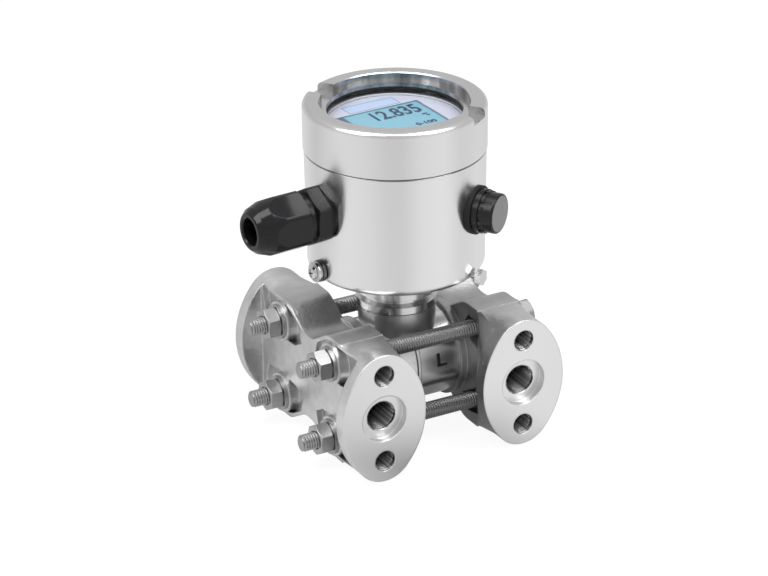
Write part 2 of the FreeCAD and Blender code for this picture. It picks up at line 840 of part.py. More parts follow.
# Cover with its window opening and the slot for a flat bar
part = Piece("cover_ring", 0, dim.flange_half, 0, dim.cover_turn)
top = above_seam(dim.cover_top)
edge = dim.cover_edge
part.turned("XZ_Plane", "V_Axis", [[
    (dim.cover_bore_radius, above_seam(dim.cover_bottom)),
    (dim.cover_radius - 0.3, above_seam(dim.cover_bottom)),
    (dim.cover_radius, above_seam(dim.cover_bottom) + 0.3),
    (dim.cover_radius, top - edge, dim.cover_radius - edge, top - edge),
    (dim.cover_radius - edge, top),
    (dim.cover_rim_radius + 0.4, top),
    (dim.cover_rim_radius, top - 0.4),
    (dim.cover_rim_radius, above_seam(dim.cover_ledge)),
    (dim.cover_lip_radius, above_seam(dim.cover_ledge)),
    (dim.cover_lip_radius, above_seam(dim.cover_lip_bottom)),
    (dim.cover_seat_radius, above_seam(dim.cover_lip_bottom)),
    (dim.cover_seat_radius, above_seam(dim.cover_seat_bottom)),
    (dim.cover_bore_radius, above_seam(dim.cover_seat_bottom)),
]])
slot = box(-50, dim.slot_width * -0.5, 50, dim.slot_width * 0.5)
part.bar("XY_Plane", above_seam(dim.cover_ledge), top + 2, [slot], True)

glass_low = above_seam(dim.window_top) - dim.window_thick
part = Piece("window_glass", 0, dim.flange_half, 0)
part.bar("XY_Plane", glass_low, above_seam(dim.window_top), [(0, 0, dim.window_radius)])

part = Piece("window_gasket", 0, dim.flange_half, 0)
rings = [(0, 0, dim.window_radius), (0, 0, dim.cover_lip_radius)]
part.bar("XY_Plane", above_seam(dim.window_top), above_seam(dim.gasket_top), rings)

part = Piece("window_retainer", 0, dim.flange_half, 0)
retainer_low = glass_low - dim.retainer_thick
part.bar("XY_Plane", retainer_low, glass_low, rings)
notches = [box(28, -1.5, 33, 1.5), box(-33, -1.5, -28, 1.5)]
part.bar("XY_Plane", retainer_low, retainer_low + 1.4, notches, True)

# Display module under the window
turn = dim.display_turn
lcd = box(dim.lcd_width * -0.5, dim.lcd_front, dim.lcd_width * 0.5, dim.lcd_back)
gap = dim.lcd_gap
lcd_side = dim.lcd_width * 0.5 + gap
lcd_room = box(dim.lcd_width * -0.5 - gap, dim.lcd_front - gap, lcd_side, dim.lcd_back + gap)
face_low = above_seam(dim.face_top) - dim.face_thick
key_places = [(dim.key_first + dim.key_pitch * step, dim.key_row) for step in (0, 1, 2)]

part = Piece("display_face", 0, dim.flange_half, 0, turn)
holes = [(x, y, dim.key_radius + 0.3) for x, y in key_places]
part.bar("XY_Plane", face_low, above_seam(dim.face_top), [(0, 0, dim.face_radius), lcd_room] + holes)

part = Piece("lcd_panel", 0, dim.flange_half, 0, turn)
part.bar("XY_Plane", above_seam(dim.display_board_top), above_seam(dim.lcd_top), [lcd])

part = Piece("display_board", 0, dim.flange_half, 0, turn)
board_radius = dim.face_radius - dim.tray_wall - 0.4
board_high = above_seam(dim.display_board_top)
board_low = board_high - dim.board_thick
part.bar("XY_Plane", board_low, board_high, [(0, 0, board_radius)])

part = Piece("display_tray", 0, dim.flange_half, 0, turn)
part.bar("XY_Plane", above_seam(dim.tray_bottom), face_low, [(0, 0, dim.face_radius)])
tray_inside = dim.face_radius - dim.tray_wall
part.bar("XY_Plane", board_low, face_low, [(0, 0, tray_inside)], True)
part.bar("XY_Plane", above_seam(dim.tray_bottom) + dim.tray_floor, face_low, [(0, 0, tray_inside - 2)], True)

for name, (x, y) in zip(("key_left", "key_middle", "key_right"), key_places):
    part = Piece(name, 0, dim.flange_half, 0, turn)
    flange_top = above_seam(dim.key_bottom) + dim.key_flange_thick
    part.bar("XY_Plane", above_seam(dim.key_bottom), flange_top, [(x, y, dim.key_flange_radius)])
    part.bar("XY_Plane", flange_top, above_seam(dim.key_top), [(x, y, dim.key_radius)])

# Boards, spacers and terminals inside the housing
spots = [(dim.spacer_circle * 0.8660254, dim.spacer_circle * 0.5)]
spots.append((dim.spacer_circle * -0.8660254, dim.spacer_circle * 0.5))
spots.append((0, dim.spacer_circle * -1))
board_top = dim.main_board_bottom + dim.board_thick

part = Piece("main_board", 0, dim.flange_half, 0, dim.housing_turn)
part.bar("XY_Plane", dim.main_board_bottom, board_top, [(0, 0, dim.main_board_radius)])
parts_on_board = [box(-12, -8, 4, 6), box(8, -6, 16, 2), box(-20, -4, -15, 3)]
part.bar("XY_Plane", board_top, board_top + 2.5, parts_on_board)

part = Piece("board_spacers", 0, dim.flange_half, 0, dim.housing_turn)
posts = [(x, y, dim.spacer_radius) for x, y in spots]
part.bar("XY_Plane", floor_top, dim.main_board_bottom, posts)

part = Piece("display_spacers", 0, dim.flange_half, 0, dim.housing_turn)
part.bar("XY_Plane", board_top, above_seam(dim.tray_bottom), posts)

part = Piece("terminal_block", 0, dim.flange_half, 0, dim.housing_turn)
near = dim.terminal_near
far = dim.terminal_far
wide = dim.terminal_half_width
terminal_top = floor_top + dim.terminal_height
part.bar("XY_Plane", floor_top, terminal_top, [box(-wide, near, wide, far)])
middle = (near + far) * 0.5
screws = [(wide * step, middle, 2.1) for step in (-0.78, -0.39, 0, 0.39, 0.78)]
part.bar("XY_Plane", terminal_top - 5, terminal_top, screws, True)
entries = [box(wide * step - 1.9, floor_top + 1.5, wide * step + 1.9, floor_top + 5.3)
           for step in (-0.78, -0.39, 0, 0.39, 0.78)]
part.bar("XZ_Plane", near, near + 8, entries, True)

part = Piece("terminal_screws", 0, dim.flange_half, 0, dim.housing_turn)
heads = [(x, y, r - 0.05) for x, y, r in screws]
part.bar("XY_Plane", terminal_top - 5, terminal_top - 0.8, heads)
slots = [box(x - 2.2, middle - 0.3, x + 2.2, middle + 0.3) for x, y, r in screws]
part.bar("XY_Plane", terminal_top - 1.6, terminal_top, slots, True)

# Cable gland, with +X pointing out of the housing
gland_turn = dim.housing_turn + 180


def at_wall(name, height, turn):
    """Start a piece on the housing wall with +X pointing outwards."""
    return Piece(name, 0, dim.flange_half, height, turn)


def saddle_seal(name, turn, inner, outer, face):
    """Build a seal that fills the gap between the tapered wall and a flat seat."""
    part = at_wall(name, dim.entry_height, turn)
    part.bar("YZ_Plane", face - 3.5, face, [(0, 0, outer), (0, 0, inner)])
    low = dim.housing_bottom + dim.housing_edge - dim.entry_height
    high = dim.housing_seam - dim.entry_height
    part.turned("XZ_Plane", "V_Axis", [[
        (0, low),
        (dim.housing_low_radius + 0.03, low),
        (dim.housing_top_radius + 0.03, high),
        (0, high),
    ]], True)


saddle_seal("gland_seal", gland_turn, dim.entry_radius, 11.7, dim.gland_seat)

part = at_wall("gland_body", dim.entry_height, gland_turn)
corner = dim.gland_flats * 0.57735 - 0.5
part.turned("XZ_Plane", "H_Axis", [[
    (dim.gland_inner_end, dim.gland_bore_radius),
    (dim.gland_inner_end, dim.gland_stem_radius - 0.6),
    (dim.gland_inner_end + 0.6, dim.gland_stem_radius),
    (dim.gland_seat, dim.gland_stem_radius),
    (dim.gland_seat, corner),
    (dim.gland_hex_end - 0.6, corner),
    (dim.gland_hex_end, corner - 1.2),
    (dim.gland_hex_end, dim.gland_ring_radius),
    (dim.gland_ring_end, dim.gland_ring_radius),
    (dim.gland_ring_end, dim.gland_thread_radius),
    (dim.gland_thread_end, dim.gland_thread_radius),
    (dim.gland_thread_end, dim.gland_room_radius),
    (dim.gland_room_start, dim.gland_room_radius),
    (dim.gland_room_start, dim.gland_bore_radius),
]])
ring_out = (0, 0, dim.gland_flats)
part.bar("YZ_Plane", dim.gland_seat, dim.gland_hex_end, [ring_out, hexagon(dim.gland_flats)], True)

part = at_wall("gland_insert", dim.entry_height, gland_turn)
part.turned("XZ_Plane", "H_Axis", [[
    (dim.gland_room_start + 0.3, dim.insert_bore_radius),
    (dim.gland_room_start + 0.3, dim.insert_radius),
    (dim.insert_end - 1.5, dim.insert_radius),
    (dim.insert_end, dim.insert_radius - 0.8),
    (dim.insert_end, dim.insert_bore_radius),
]])

part = at_wall("gland_cap", dim.entry_height, gland_turn)
mouth = dim.cap_mouth_radius
part.turned("XZ_Plane", "H_Axis", [[
    (dim.cap_start, dim.cap_bore_radius),
    (dim.cap_start, dim.cap_corner_radius - 0.6),
    (dim.cap_start + 0.6, dim.cap_corner_radius),
    (dim.cap_shoulder, dim.cap_corner_radius),
    (dim.cap_shoulder + 5, dim.cap_corner_radius - 1.2),
    (dim.cap_end - 2.2, dim.cap_end_radius + 1.6),
    (dim.cap_end - 0.4, dim.cap_end_radius),
    (dim.cap_end, dim.cap_end_radius - 0.6),
    (dim.cap_end, mouth + 0.6),
    (dim.cap_end - 0.6, mouth),
    (dim.cap_end - 3.5, mouth),
    (dim.insert_end + 0.5, dim.insert_radius + 0.4),
    (dim.gland_thread_end + 1, dim.cap_bore_radius),
]])
part.bar("YZ_Plane", dim.cap_start, dim.cap_end - 3, [ring_out, hexagon(dim.gland_flats)], True)

# Blanking plug in the second entry
plug_turn = dim.housing_turn + dim.plug_azimuth
saddle_seal("plug_seal", plug_turn, dim.plug_hole_radius, 10.9, dim.plug_seat)
part = at_wall("blanking_plug", dim.entry_height, plug_turn)
edge = dim.plug_edge
part.turned("XZ_Plane", "H_Axis", [[
    (32, 0),
    (32, dim.plug_stem_radius - 0.8),
    (32.8, dim.plug_stem_radius),
    (dim.plug_seat, dim.plug_stem_radius),
    (dim.plug_seat, dim.plug_band_radius),
    (dim.plug_band_end, dim.plug_band_radius),
    (dim.plug_band_end, dim.plug_radius),
    (dim.plug_end - edge, dim.plug_radius, dim.plug_end - edge, dim.plug_radius - edge),
    (dim.plug_end, dim.plug_radius - edge),
    (dim.plug_end, 0),
]])

# Outside ground terminal
ground_turn = dim.housing_turn + dim.ground_azimuth
washer_end = dim.housing_low_radius + 1.4
clamp_end = washer_end + 1.6
part = at_wall("ground_washer", dim.ground_height, ground_turn)
washer = [(0, 0, 4.9), (0, 0, 2.3)]
part.bar("YZ_Plane", dim.housing_low_radius + 0.12, washer_end, washer)

part = at_wall("ground_clamp", dim.ground_height, ground_turn)
side = dim.ground_clamp_half
part.bar("YZ_Plane", washer_end, clamp_end, [box(-side, -side, side, side), (0, 0, 2.3)])
lips = [box(-side, -side, -side + 1.2, side), box(side - 1.2, -side, side, side)]
part.bar("YZ_Plane", clamp_end, clamp_end + 0.9, lips)

part = at_wall("ground_screw", dim.ground_height, ground_turn)
head = dim.ground_head_radius
head_top = clamp_end + dim.ground_head_thick
part.turned("XZ_Plane", "H_Axis", [[
    (34.5, 0),
    (34.5, dim.ground_shank_radius),
    (clamp_end, dim.ground_shank_radius),
    (clamp_end, head - 1.6),
    (head_top - 0.9, head - 1.6),
    (head_top, head - 2.4),
    (head_top, 0),
]])
part.bar("YZ_Plane", head_top - 1.2, head_top + 1, [box(-6, -0.6, 6, 0.6)], True)

# Screw that locks the turn of the housing
part = at_wall("lock_screw", dim.lock_height, dim.housing_turn + dim.lock_azimuth)
head_start = dim.lock_head_start
head_top = head_start + dim.lock_head_thick
part.bar("YZ_Plane", 28, head_start, [(0, 0, dim.lock_shank_radius)])
part.bar("YZ_Plane", head_start, head_top, [hexagon(dim.lock_flats)])

doc.recompute()

os.makedirs("parts", exist_ok=True)
faults = []
for item in doc.Objects:
    if "Invalid" in item.State or "Error" in item.State:
        faults.append("%s %s" % (item.Name, item.State))
for body in pieces:
    if body.Shape.isNull() or not body.Shape.isValid():
        faults.append("%s has no sound shape" % body.Label)
if faults:
    raise RuntimeError("; ".join(faults))
for body in pieces:
    body.Shape.exportStep("parts/%s.step" % body.Label)
    print(body.Label, len(body.Shape.Solids), round(body.Shape.Volume, 1))
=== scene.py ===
import json
import logging
import math
from dataclasses import dataclass
from enum import Enum
from typing import Callable, Dict, Iterable, List, Optional, Sequence, Tuple, Union

import bmesh
import bpy
from mathutils import Matrix, Vector

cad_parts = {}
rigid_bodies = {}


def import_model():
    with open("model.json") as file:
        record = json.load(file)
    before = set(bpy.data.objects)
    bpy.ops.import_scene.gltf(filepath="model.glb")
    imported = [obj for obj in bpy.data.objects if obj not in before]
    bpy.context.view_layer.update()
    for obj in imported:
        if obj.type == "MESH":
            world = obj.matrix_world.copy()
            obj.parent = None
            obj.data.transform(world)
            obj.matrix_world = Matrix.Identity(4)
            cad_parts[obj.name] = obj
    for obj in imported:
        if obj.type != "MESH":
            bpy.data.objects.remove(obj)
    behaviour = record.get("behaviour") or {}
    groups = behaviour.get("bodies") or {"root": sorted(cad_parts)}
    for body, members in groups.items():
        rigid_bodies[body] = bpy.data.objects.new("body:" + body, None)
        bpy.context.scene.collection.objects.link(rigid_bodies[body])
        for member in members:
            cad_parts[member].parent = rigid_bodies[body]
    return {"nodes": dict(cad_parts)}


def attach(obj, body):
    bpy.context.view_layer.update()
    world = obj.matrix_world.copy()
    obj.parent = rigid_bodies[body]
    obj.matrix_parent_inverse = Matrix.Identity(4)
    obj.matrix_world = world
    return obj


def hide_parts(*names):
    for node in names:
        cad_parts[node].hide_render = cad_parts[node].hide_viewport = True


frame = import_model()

LOG = logging.getLogger("transmitter")
MM = 0.001
WHITE = (1.0, 1.0, 1.0, 1.0)

# Lengths in millimetres in the frame of the part: X along the clamp bolts, Z up
AXIS_Y = 52.4
AXIS = AXIS_Y * MM
PORT_X = 35.1
HOLE_UP = 20.65

# Degrees from X, turned about the housing axis
PLUG_TURN = -56.0
GROUND_TURN = 185.0

# Fineness of surface marks, in waves per metre
FINE = 2600.0
TOOL_MARKS = 2200.0
SAND = 900.0
STREAKS = 380.0
LUMPS = 260.0
SMOOTH_PATCHES = 220.0
PATCHES = 130.0
SMEARS = 90.0
FINE_DETAIL = 3.0

# How far one radian goes in the marks, in metres
STREAK_TURN = 0.01
RING_TURN = 0.002

Point = Tuple[float, float, float]
Socket = bpy.types.NodeSocket
Value = Union[float, Sequence[float], bpy.types.NodeSocket]
Stops = Sequence[Tuple[float, float]]


class Grain(Enum):
    """How a surface was made, which sets its fine relief."""

    PLAIN = "plain"
    TURNED_UP = "turned about the housing axis"
    TURNED_ACROSS = "turned about the clamp direction"
    CAST = "cast, with machined process faces"


class Side(Enum):
    """The pressure side of a flange, with the direction it lies in."""

    HIGH = -1
    LOW = 1


class Graph:
    """Builds the node tree of one material or world."""

    def __init__(self, tree: bpy.types.NodeTree) -> None:
        """Take over a node tree and empty it."""
        self.tree = tree
        tree.nodes.clear()

    def add(self, kind: str, values: Optional[Dict[Union[int, str], Value]] = None,
            **settings: object) -> bpy.types.Node:
        """Add a node.

        Args:
            kind: Type name of the node without its common start.
            values: Number, colour or output for each named or numbered input.
            settings: Plain properties of the node.

        Returns:
            The new node.
        """
        node = self.tree.nodes.new("ShaderNode" + kind)
        for name, setting in settings.items():
            setattr(node, name, setting)
        for key, value in (values or {}).items():
            if isinstance(value, bpy.types.NodeSocket):
                self.tree.links.new(value, node.inputs[key])
            else:
                node.inputs[key].default_value = value
        return node

    def math(self, operation: str, *values: Value) -> Socket:
        """Return the result of a calculation."""
        return self.add("Math", dict(enumerate(values)), operation=operation).outputs[0]

    def plus(self, first: Value, second: Value) -> Socket:
        """Return the sum of two values."""
        return self.math("ADD", first, second)

    def minus(self, first: Value, second: Value) -> Socket:
        """Return the first value less the second."""
        return self.math("SUBTRACT", first, second)

    def times(self, first: Value, second: Value) -> Socket:
        """Return the product of two values."""
        return self.math("MULTIPLY", first, second)

    def over(self, first: Value, second: Value) -> Socket:
        """Return the first value divided by the second."""
        return self.math("DIVIDE", first, second)

    def plain(self, value: Value) -> Socket:
        """Return a value without its sign."""
        return self.math("ABSOLUTE", value)

    def under(self, value: Value, limit: float) -> Socket:
        """Return 1 where a length is under a limit in millimetres, and 0 elsewhere."""
        return self.math("LESS_THAN", value, limit * MM)

    def beyond(self, value: Value, limit: float) -> Socket:
        """Return 1 where a length is over a limit in millimetres, and 0 elsewhere."""
        return self.math("GREATER_THAN", value, limit * MM)

    def length(self, first: Value, second: Value) -> Socket:
        """Return the length of a flat vector."""
        return self.math("SQRT", self.plus(self.times(first, first), self.times(second, second)))

    def mix(self, factor: Value, first: Value, second: Value) -> Socket:
        """Return a mix of two numbers."""
        return self.add("Mix", {0: factor, 2: first, 3: second}, data_type="FLOAT").outputs[0]

    def join(self, **parts: Value) -> Socket:
        """Return a vector made of the parts x, y and z that are given."""
        return self.add("CombineXYZ", {"xyz".index(name): part for name, part in parts.items()}).outputs[0]

    def noise(self, vector: Value, scale: float, detail: float = 2.0) -> Socket:
        """Return a noise value at a scale per metre."""
        return self.add("TexNoise", {"Vector": vector, "Scale": scale, "Detail": detail}).outputs[0]

    def ramp(self, value: Value, stops: Stops) -> Socket:
        """Add a ramp of brightness.

        Args:
            value: Where on the ramp to read, 0 to 1.
            stops: Place and brightness of each stop.

        Returns:
            The brightness at the value.
        """
        node = self.add("ValToRGB", {0: value})
        ramp = node.color_ramp
        while len(ramp.elements) > 1:
            ramp.elements.remove(ramp.elements[0])
        ramp.elements[0].position = stops[0][0]
        ramp.elements[0].color = (stops[0][1],) * 3 + (1.0,)
        for place, level in stops[1:]:
            ramp.elements.new(place).color = (level,) * 3 + (1.0,)
        return node.outputs[0]

    def streaks(self, first: Value, second: Value, low: float, high: float) -> Socket:
        """Return a shade between two limits that changes only with the turn about an axis."""
        turn = self.times(self.math("ARCTAN2", first, second), STREAK_TURN)
        return self.ramp(self.noise(self.join(x=turn), STREAKS), ((0.35, low), (0.65, high)))


class Surface(Graph):
    """The node tree of one material, with the place on its piece in metres."""

    def __init__(self, name: str) -> None:
        """Start an empty material.

        Args:
            name: Its name.
        """
        self.material = bpy.data.materials.new(name)
        self.material.use_nodes = True
        super().__init__(self.material.node_tree)
        self.place = self.add("TexCoord").outputs["Object"]
        self.x, self.y, self.z = self.add("SeparateXYZ", {0: self.place}).outputs
        self.off = self.minus(self.y, AXIS)

    def facing(self) -> Sequence[Socket]:
        """Return the three parts of the surface's direction."""
        return self.add("SeparateXYZ", {0: self.add("TexCoord").outputs["Normal"]}).outputs

    def from_port(self, up: float) -> Socket:
        """Return the distance from the nearer hole axis at a height in millimetres."""
        across = self.minus(self.plain(self.x), PORT_X * MM)
        return self.length(across, self.minus(self.z, up * MM))

    def inner_walls(self) -> Socket:
        """Find the upright walls that don't face away from the housing axis.

        Returns:
            1 on such a wall, 0 elsewhere.
        """
        facing = self.facing()
        along = self.plus(self.times(facing[0], self.x), self.times(facing[1], self.off))
        outward = self.over(along, self.length(self.x, self.off))
        upright = self.minus(1.0, self.plain(facing[2]))
        return self.times(upright, self.math("LESS_THAN", outward, 0.5))

    def finish(self, shader: bpy.types.Node) -> bpy.types.Material:
        """Return the material with a shader as its output."""
        self.add("OutputMaterial", {0: shader.outputs[0]})
        return self.material


@dataclass(frozen=True)
class Casting:
    """How a casting with machined faces and holes looks.

    Lengths are in millimetres. A depth is measured inwards from the nearer process face, and a
    radius from the axis of a port or of a tapped hole.
    """

    face_depth: float = 0.15
    recess_radius: float = 11.2
    recess_depth: float = 3.7
    passage_radius: float = 8.2
    passage_depth: float = 22.0
    bore_radius: float = 7.1
    bore_start: float = 3.4
    hole_radius: float = 5.0
    hole_start: float = 0.1
    hole_end: float = 16.0
    # Painted shade on the walls of the ports and tapped holes: its streak levels, and how it darkens with
    # depth
    lining_depth: float = 24.0
    painted_streak_shades: Tuple[float, float] = (0.09, 0.62)
    painted_depth_shade: Stops = ((0.0, 1.0), (0.9, 0.20))
    face_shade: float = 0.71
    face_roughness: float = 0.30
    face_relief: float = 0.10
    skin_dulling: float = 0.10
    skin_patches: Stops = ((0.3, 0.84), (0.7, 1.0))
    lump_height: float = 1.6
    # Painted shade: on skin that faces the cell, and on the top near the middle, beside the housing
    inner_side_painted_shade: Stops = ((0.05, 1.0), (0.8, 0.60))
    top_painted_shade: Stops = ((0.2, 0.0), (0.7, 0.26))
    middle: Stops = ((0.25, 0.0), (0.55, 1.0))

    def build(self, graph: Surface, cloud: Value, colour: float,
              rough: Value) -> Tuple[Socket, Socket, Socket]:
        """Add the look of a casting to a surface.

        Args:
            graph: The surface.
            cloud: Broad patches, 0 to 1.
            colour: How much light the metal reflects.
            rough: The roughness so far.

        Returns:
            The shade, the roughness and the height of the relief.
        """
        depth = graph.minus(AXIS, graph.plain(graph.off))
        port = graph.from_port(0.0)
        holes = graph.math("MINIMUM", graph.from_port(HOLE_UP), graph.from_port(-HOLE_UP))
        recess = graph.times(graph.under(port, self.recess_radius), graph.under(depth, self.recess_depth))
        passage = graph.times(graph.under(port, self.passage_radius), graph.under(depth, self.passage_depth))
        face = graph.math("MAXIMUM", graph.under(depth, self.face_depth),
                          graph.math("MAXIMUM", recess, passage))
        bore = graph.times(graph.under(port, self.bore_radius), graph.beyond(depth, self.bore_start))
        drilled = graph.times(graph.under(holes, self.hole_radius), graph.beyond(depth, self.hole_start))
        # Painted shade in the bores and tapped holes, streaked and darker further in; the skin carries
        # painted shade too
        dark = graph.plus(bore, graph.times(drilled, graph.under(depth, self.hole_end)))
        outside = graph.mix(face, self.skin(graph, cloud, depth, colour), self.face_shade)
        shade = graph.mix(graph.math("MINIMUM", dark, 1.0), outside, self.painted_hole_shade(graph, drilled, depth))
        lumps = graph.times(graph.noise(graph.place, LUMPS), self.lump_height)
        sand = graph.plus(graph.noise(graph.place, SAND, FINE_DETAIL), lumps)
        rings = graph.noise(graph.join(x=port), TOOL_MARKS, 1.0)
        return (shade, graph.mix(face, graph.plus(rough, self.skin_dulling), self.face_roughness),
                graph.mix(face, sand, graph.times(rings, self.face_relief)))

    def painted_hole_shade(self, graph: Surface, drilled: Value, depth: Value) -> Socket:
        """Paint shade on the walls of the holes: painted reflection streaks along them, and painted shade
        that grows darker further in.

        Args:
            graph: The surface.
            drilled: 1 in a tapped hole, 0 in a port.
            depth: Distance from the nearer process face, in metres.

        Returns:
            The shade.
        """
        across = graph.minus(graph.plain(graph.x), PORT_X * MM)
        lifted = graph.minus(graph.plain(graph.z), graph.mix(drilled, 0.0, HOLE_UP * MM))
        streak = graph.streaks(across, lifted, *self.painted_streak_shades)
        return graph.times(streak, graph.ramp(graph.over(depth, self.lining_depth * MM), self.painted_depth_shade))

    def skin(self, graph: Surface, cloud: Value, depth: Value, colour: float) -> Socket:
        """Colour the unmachined skin, with painted shade on the faces towards the cell and on top beside the
        housing.

        Args:
            graph: The surface.
            cloud: Broad patches, 0 to 1.
            depth: Distance from the nearer process face, in metres.
            colour: How much light the metal reflects.

        Returns:
            The shade.
        """
        facing = graph.facing()
        inward = graph.times(graph.times(facing[0], graph.math("SIGN", graph.x)), -1.0)
        patched = graph.times(colour, graph.ramp(cloud, self.skin_patches))
        # Painted shade on faces towards the cell and on top beside the housing
        shaded_inward = graph.times(patched, graph.ramp(inward, self.inner_side_painted_shade))
        top_shade_share = graph.times(graph.ramp(facing[2], self.top_painted_shade),
                             graph.ramp(graph.over(depth, AXIS), self.middle))
        return graph.times(shaded_inward, graph.minus(1.0, top_shade_share))


@dataclass(frozen=True)
class Metal:
    """A bare metal finish.

    The relief, the rounding of sharp edges and the height of a dark joint line are in millimetres.
    """

    name: str
    colour: float
    roughness: float
    grain: Grain = Grain.PLAIN
    relief: float = 0.02
    edge: float = 0.25
    stretch: float = 0.0
    # Painted shade on the inner walls, with the levels of its streaks
    painted_inner_shade: bool = False
    seam: float = 0.0
    painted_wall_streaks: Tuple[float, float] = (0.16, 0.50)
    seam_half: float = 0.35
    seam_shade: float = 0.30

    def build(self) -> bpy.types.Material:
        """Return the finish as a material."""
        graph = Surface(self.name)
        cloud = graph.noise(graph.place, PATCHES, FINE_DETAIL)
        rough: Value = graph.plus(self.roughness - 0.04, graph.times(cloud, 0.09))
        shade: Value = self.colour
        if self.grain is Grain.CAST:
            shade, rough, height = Casting().build(graph, cloud, self.colour, rough)
        else:
            where = graph.place if self.grain is Grain.PLAIN else self.rings(graph)
            height = graph.noise(where, FINE, FINE_DETAIL)
        # Painted shade on the cover's inner walls, streaked round the axis as painted reflections
        if self.painted_inner_shade:
            wall = graph.streaks(graph.x, graph.off, *self.painted_wall_streaks)
            shade = graph.mix(graph.inner_walls(), shade, wall)
        if self.seam:
            gap = graph.plain(graph.minus(graph.z, self.seam * MM))
            shade = graph.mix(graph.under(gap, self.seam_half), shade, self.seam_shade)
        bump = graph.add("Bump", {"Distance": self.relief * MM, "Height": height})
        if self.edge:
            soft = graph.add("Bevel", {"Radius": self.edge * MM}, samples=6).outputs[0]
            graph.tree.links.new(soft, bump.inputs["Normal"])
        shader = graph.add("BsdfPrincipled", {
            "Base Color": graph.add("CombineColor", {0: shade, 1: shade, 2: shade}).outputs[0],
            "Metallic": 1.0, "Roughness": rough, "Normal": bump.outputs[0]})
        if self.stretch:
            shader.inputs["Anisotropic"].default_value = self.stretch
            shader.inputs["Anisotropic Rotation"].default_value = 0.25
            graph.tree.links.new(self.tangent(graph), shader.inputs["Tangent"])
        return graph.finish(shader)

    def rings(self, graph: Surface) -> Socket:
        """Draw out the place along the marks of a lathe tool.

        Args:
            graph: The surface.

        Returns:
            The drawn out place.
        """
        along, first, second = graph.x, graph.off, graph.z
        if self.grain is Grain.TURNED_UP:
            along, first, second = graph.z, graph.x, graph.off
        turn = graph.times(graph.math("ARCTAN2", first, second), RING_TURN)
        return graph.join(x=along, y=graph.length(first, second), z=turn)

    def tangent(self, graph: Surface) -> Socket:
        """Find the direction of the lathe marks.

        Args:
            graph: The surface.

        Returns:
            The direction.
        """
        if self.grain is Grain.TURNED_UP:
            way = graph.join(x=graph.times(graph.off, -1.0), y=graph.x)
        else:
            way = graph.join(y=graph.times(graph.z, -1.0), z=graph.off)
        return graph.add("VectorTransform", {0: way}, vector_type="VECTOR",
                         convert_from="OBJECT", convert_to="WORLD").outputs[0]


@dataclass(frozen=True)
class Plastic:
    """A moulded plastic, rubber or painted finish.

    The relief and the rounding of edges are in millimetres, and the grain in waves per metre.
    """

    name: str
    colour: Tuple[float, float, float]
    roughness: float
    relief: float = 0.01
    grain: float = 1500.0
    coat: float = 0.0
    edge: float = 0.3
    shine: float = 0.28

    def build(self) -> bpy.types.Material:
        """Return the finish as a material."""
        graph = Surface(self.name)
        speck = graph.noise(graph.place, self.grain, FINE_DETAIL)
        soft = graph.add("Bevel", {"Radius": self.edge * MM}, samples=4).outputs[0]
        bump = graph.add("Bump", {"Distance": self.relief * MM, "Height": speck, "Normal": soft})
        rough = graph.plus(self.roughness - 0.05, graph.times(graph.noise(graph.place, SMOOTH_PATCHES), 0.1))
        return graph.finish(graph.add("BsdfPrincipled", {
            "Base Color": (*self.colour, 1.0), "Roughness": rough, "Normal": bump.outputs[0],
            "Coat Weight": self.coat, "Specular IOR Level": self.shine}))


@dataclass(frozen=True)
class Glass:
    """The clear window: it shows what lies under it, with a weak reflection."""

    name: str
    shine: float = 0.06

    def build(self) -> bpy.types.Material:
        """Return the finish as a material."""
        graph = Surface(self.name)
        smear = graph.times(graph.noise(graph.place, SMEARS), 0.05)
        clear = graph.add("BsdfTransparent", {0: (0.97, 0.98, 0.98, 1.0)})
        gloss = graph.add("BsdfGlossy", {"Color": WHITE, "Roughness": smear})
        facing = graph.add("LayerWeight", {0: 0.15}).outputs["Facing"]
        share = graph.times(facing, self.shine * 3)
        return graph.finish(graph.add("MixShader", {0: share, 1: clear.outputs[0], 2: gloss.outputs[0]}))


Finish = Union[Metal, Plastic, Glass]

CAST_STEEL = Metal("cast_steel", 0.66, 0.28, Grain.CAST, relief=0.11, edge=1.0)
SATIN_STEEL = Metal("satin_steel", 0.70, 0.22, Grain.TURNED_UP, relief=0.001, edge=0.0, stretch=0.75,
                    seam=102.3)
COVER_STEEL = Metal("cover_steel", 0.67, 0.21, Grain.TURNED_UP, relief=0.001, edge=0.0, stretch=0.6,
                    painted_inner_shade=True)
POLISHED_STEEL = Metal("polished_steel", 0.60, 0.18, Grain.TURNED_UP, relief=0.002, edge=0.0, stretch=0.75)
CELL_STEEL = Metal("cell_steel", 0.70, 0.22, Grain.TURNED_ACROSS, relief=0.004, edge=0.0, stretch=0.5)
NECK_STEEL = Metal("neck_steel", 0.50, 0.34, Grain.TURNED_UP, relief=0.006, edge=0.0, stretch=0.5)
BOLT_STEEL = Metal("bolt_steel", 0.34, 0.42, relief=0.01, edge=0.0)
NUT_STEEL = Metal("nut_steel", 0.39, 0.34, relief=0.01, edge=0.3)
SCREW_STEEL = Metal("screw_steel", 0.60, 0.24, relief=0.01, edge=0.15)
DARK_STEEL = Metal("dark_steel", 0.20, 0.40)
# Painted light: the window retainer's seat is brighter and rougher than the other steels, for light on it
# under the window lip
SEAT_PAINTED_LIGHT = Metal("seat_steel", 0.85, 0.5)
BLACK_NYLON = Plastic("black_nylon", (0.006, 0.006, 0.007), 0.28, relief=0.012)
GLOSS_NYLON = Plastic("gloss_nylon", (0.006, 0.006, 0.007), 0.14, relief=0.006)
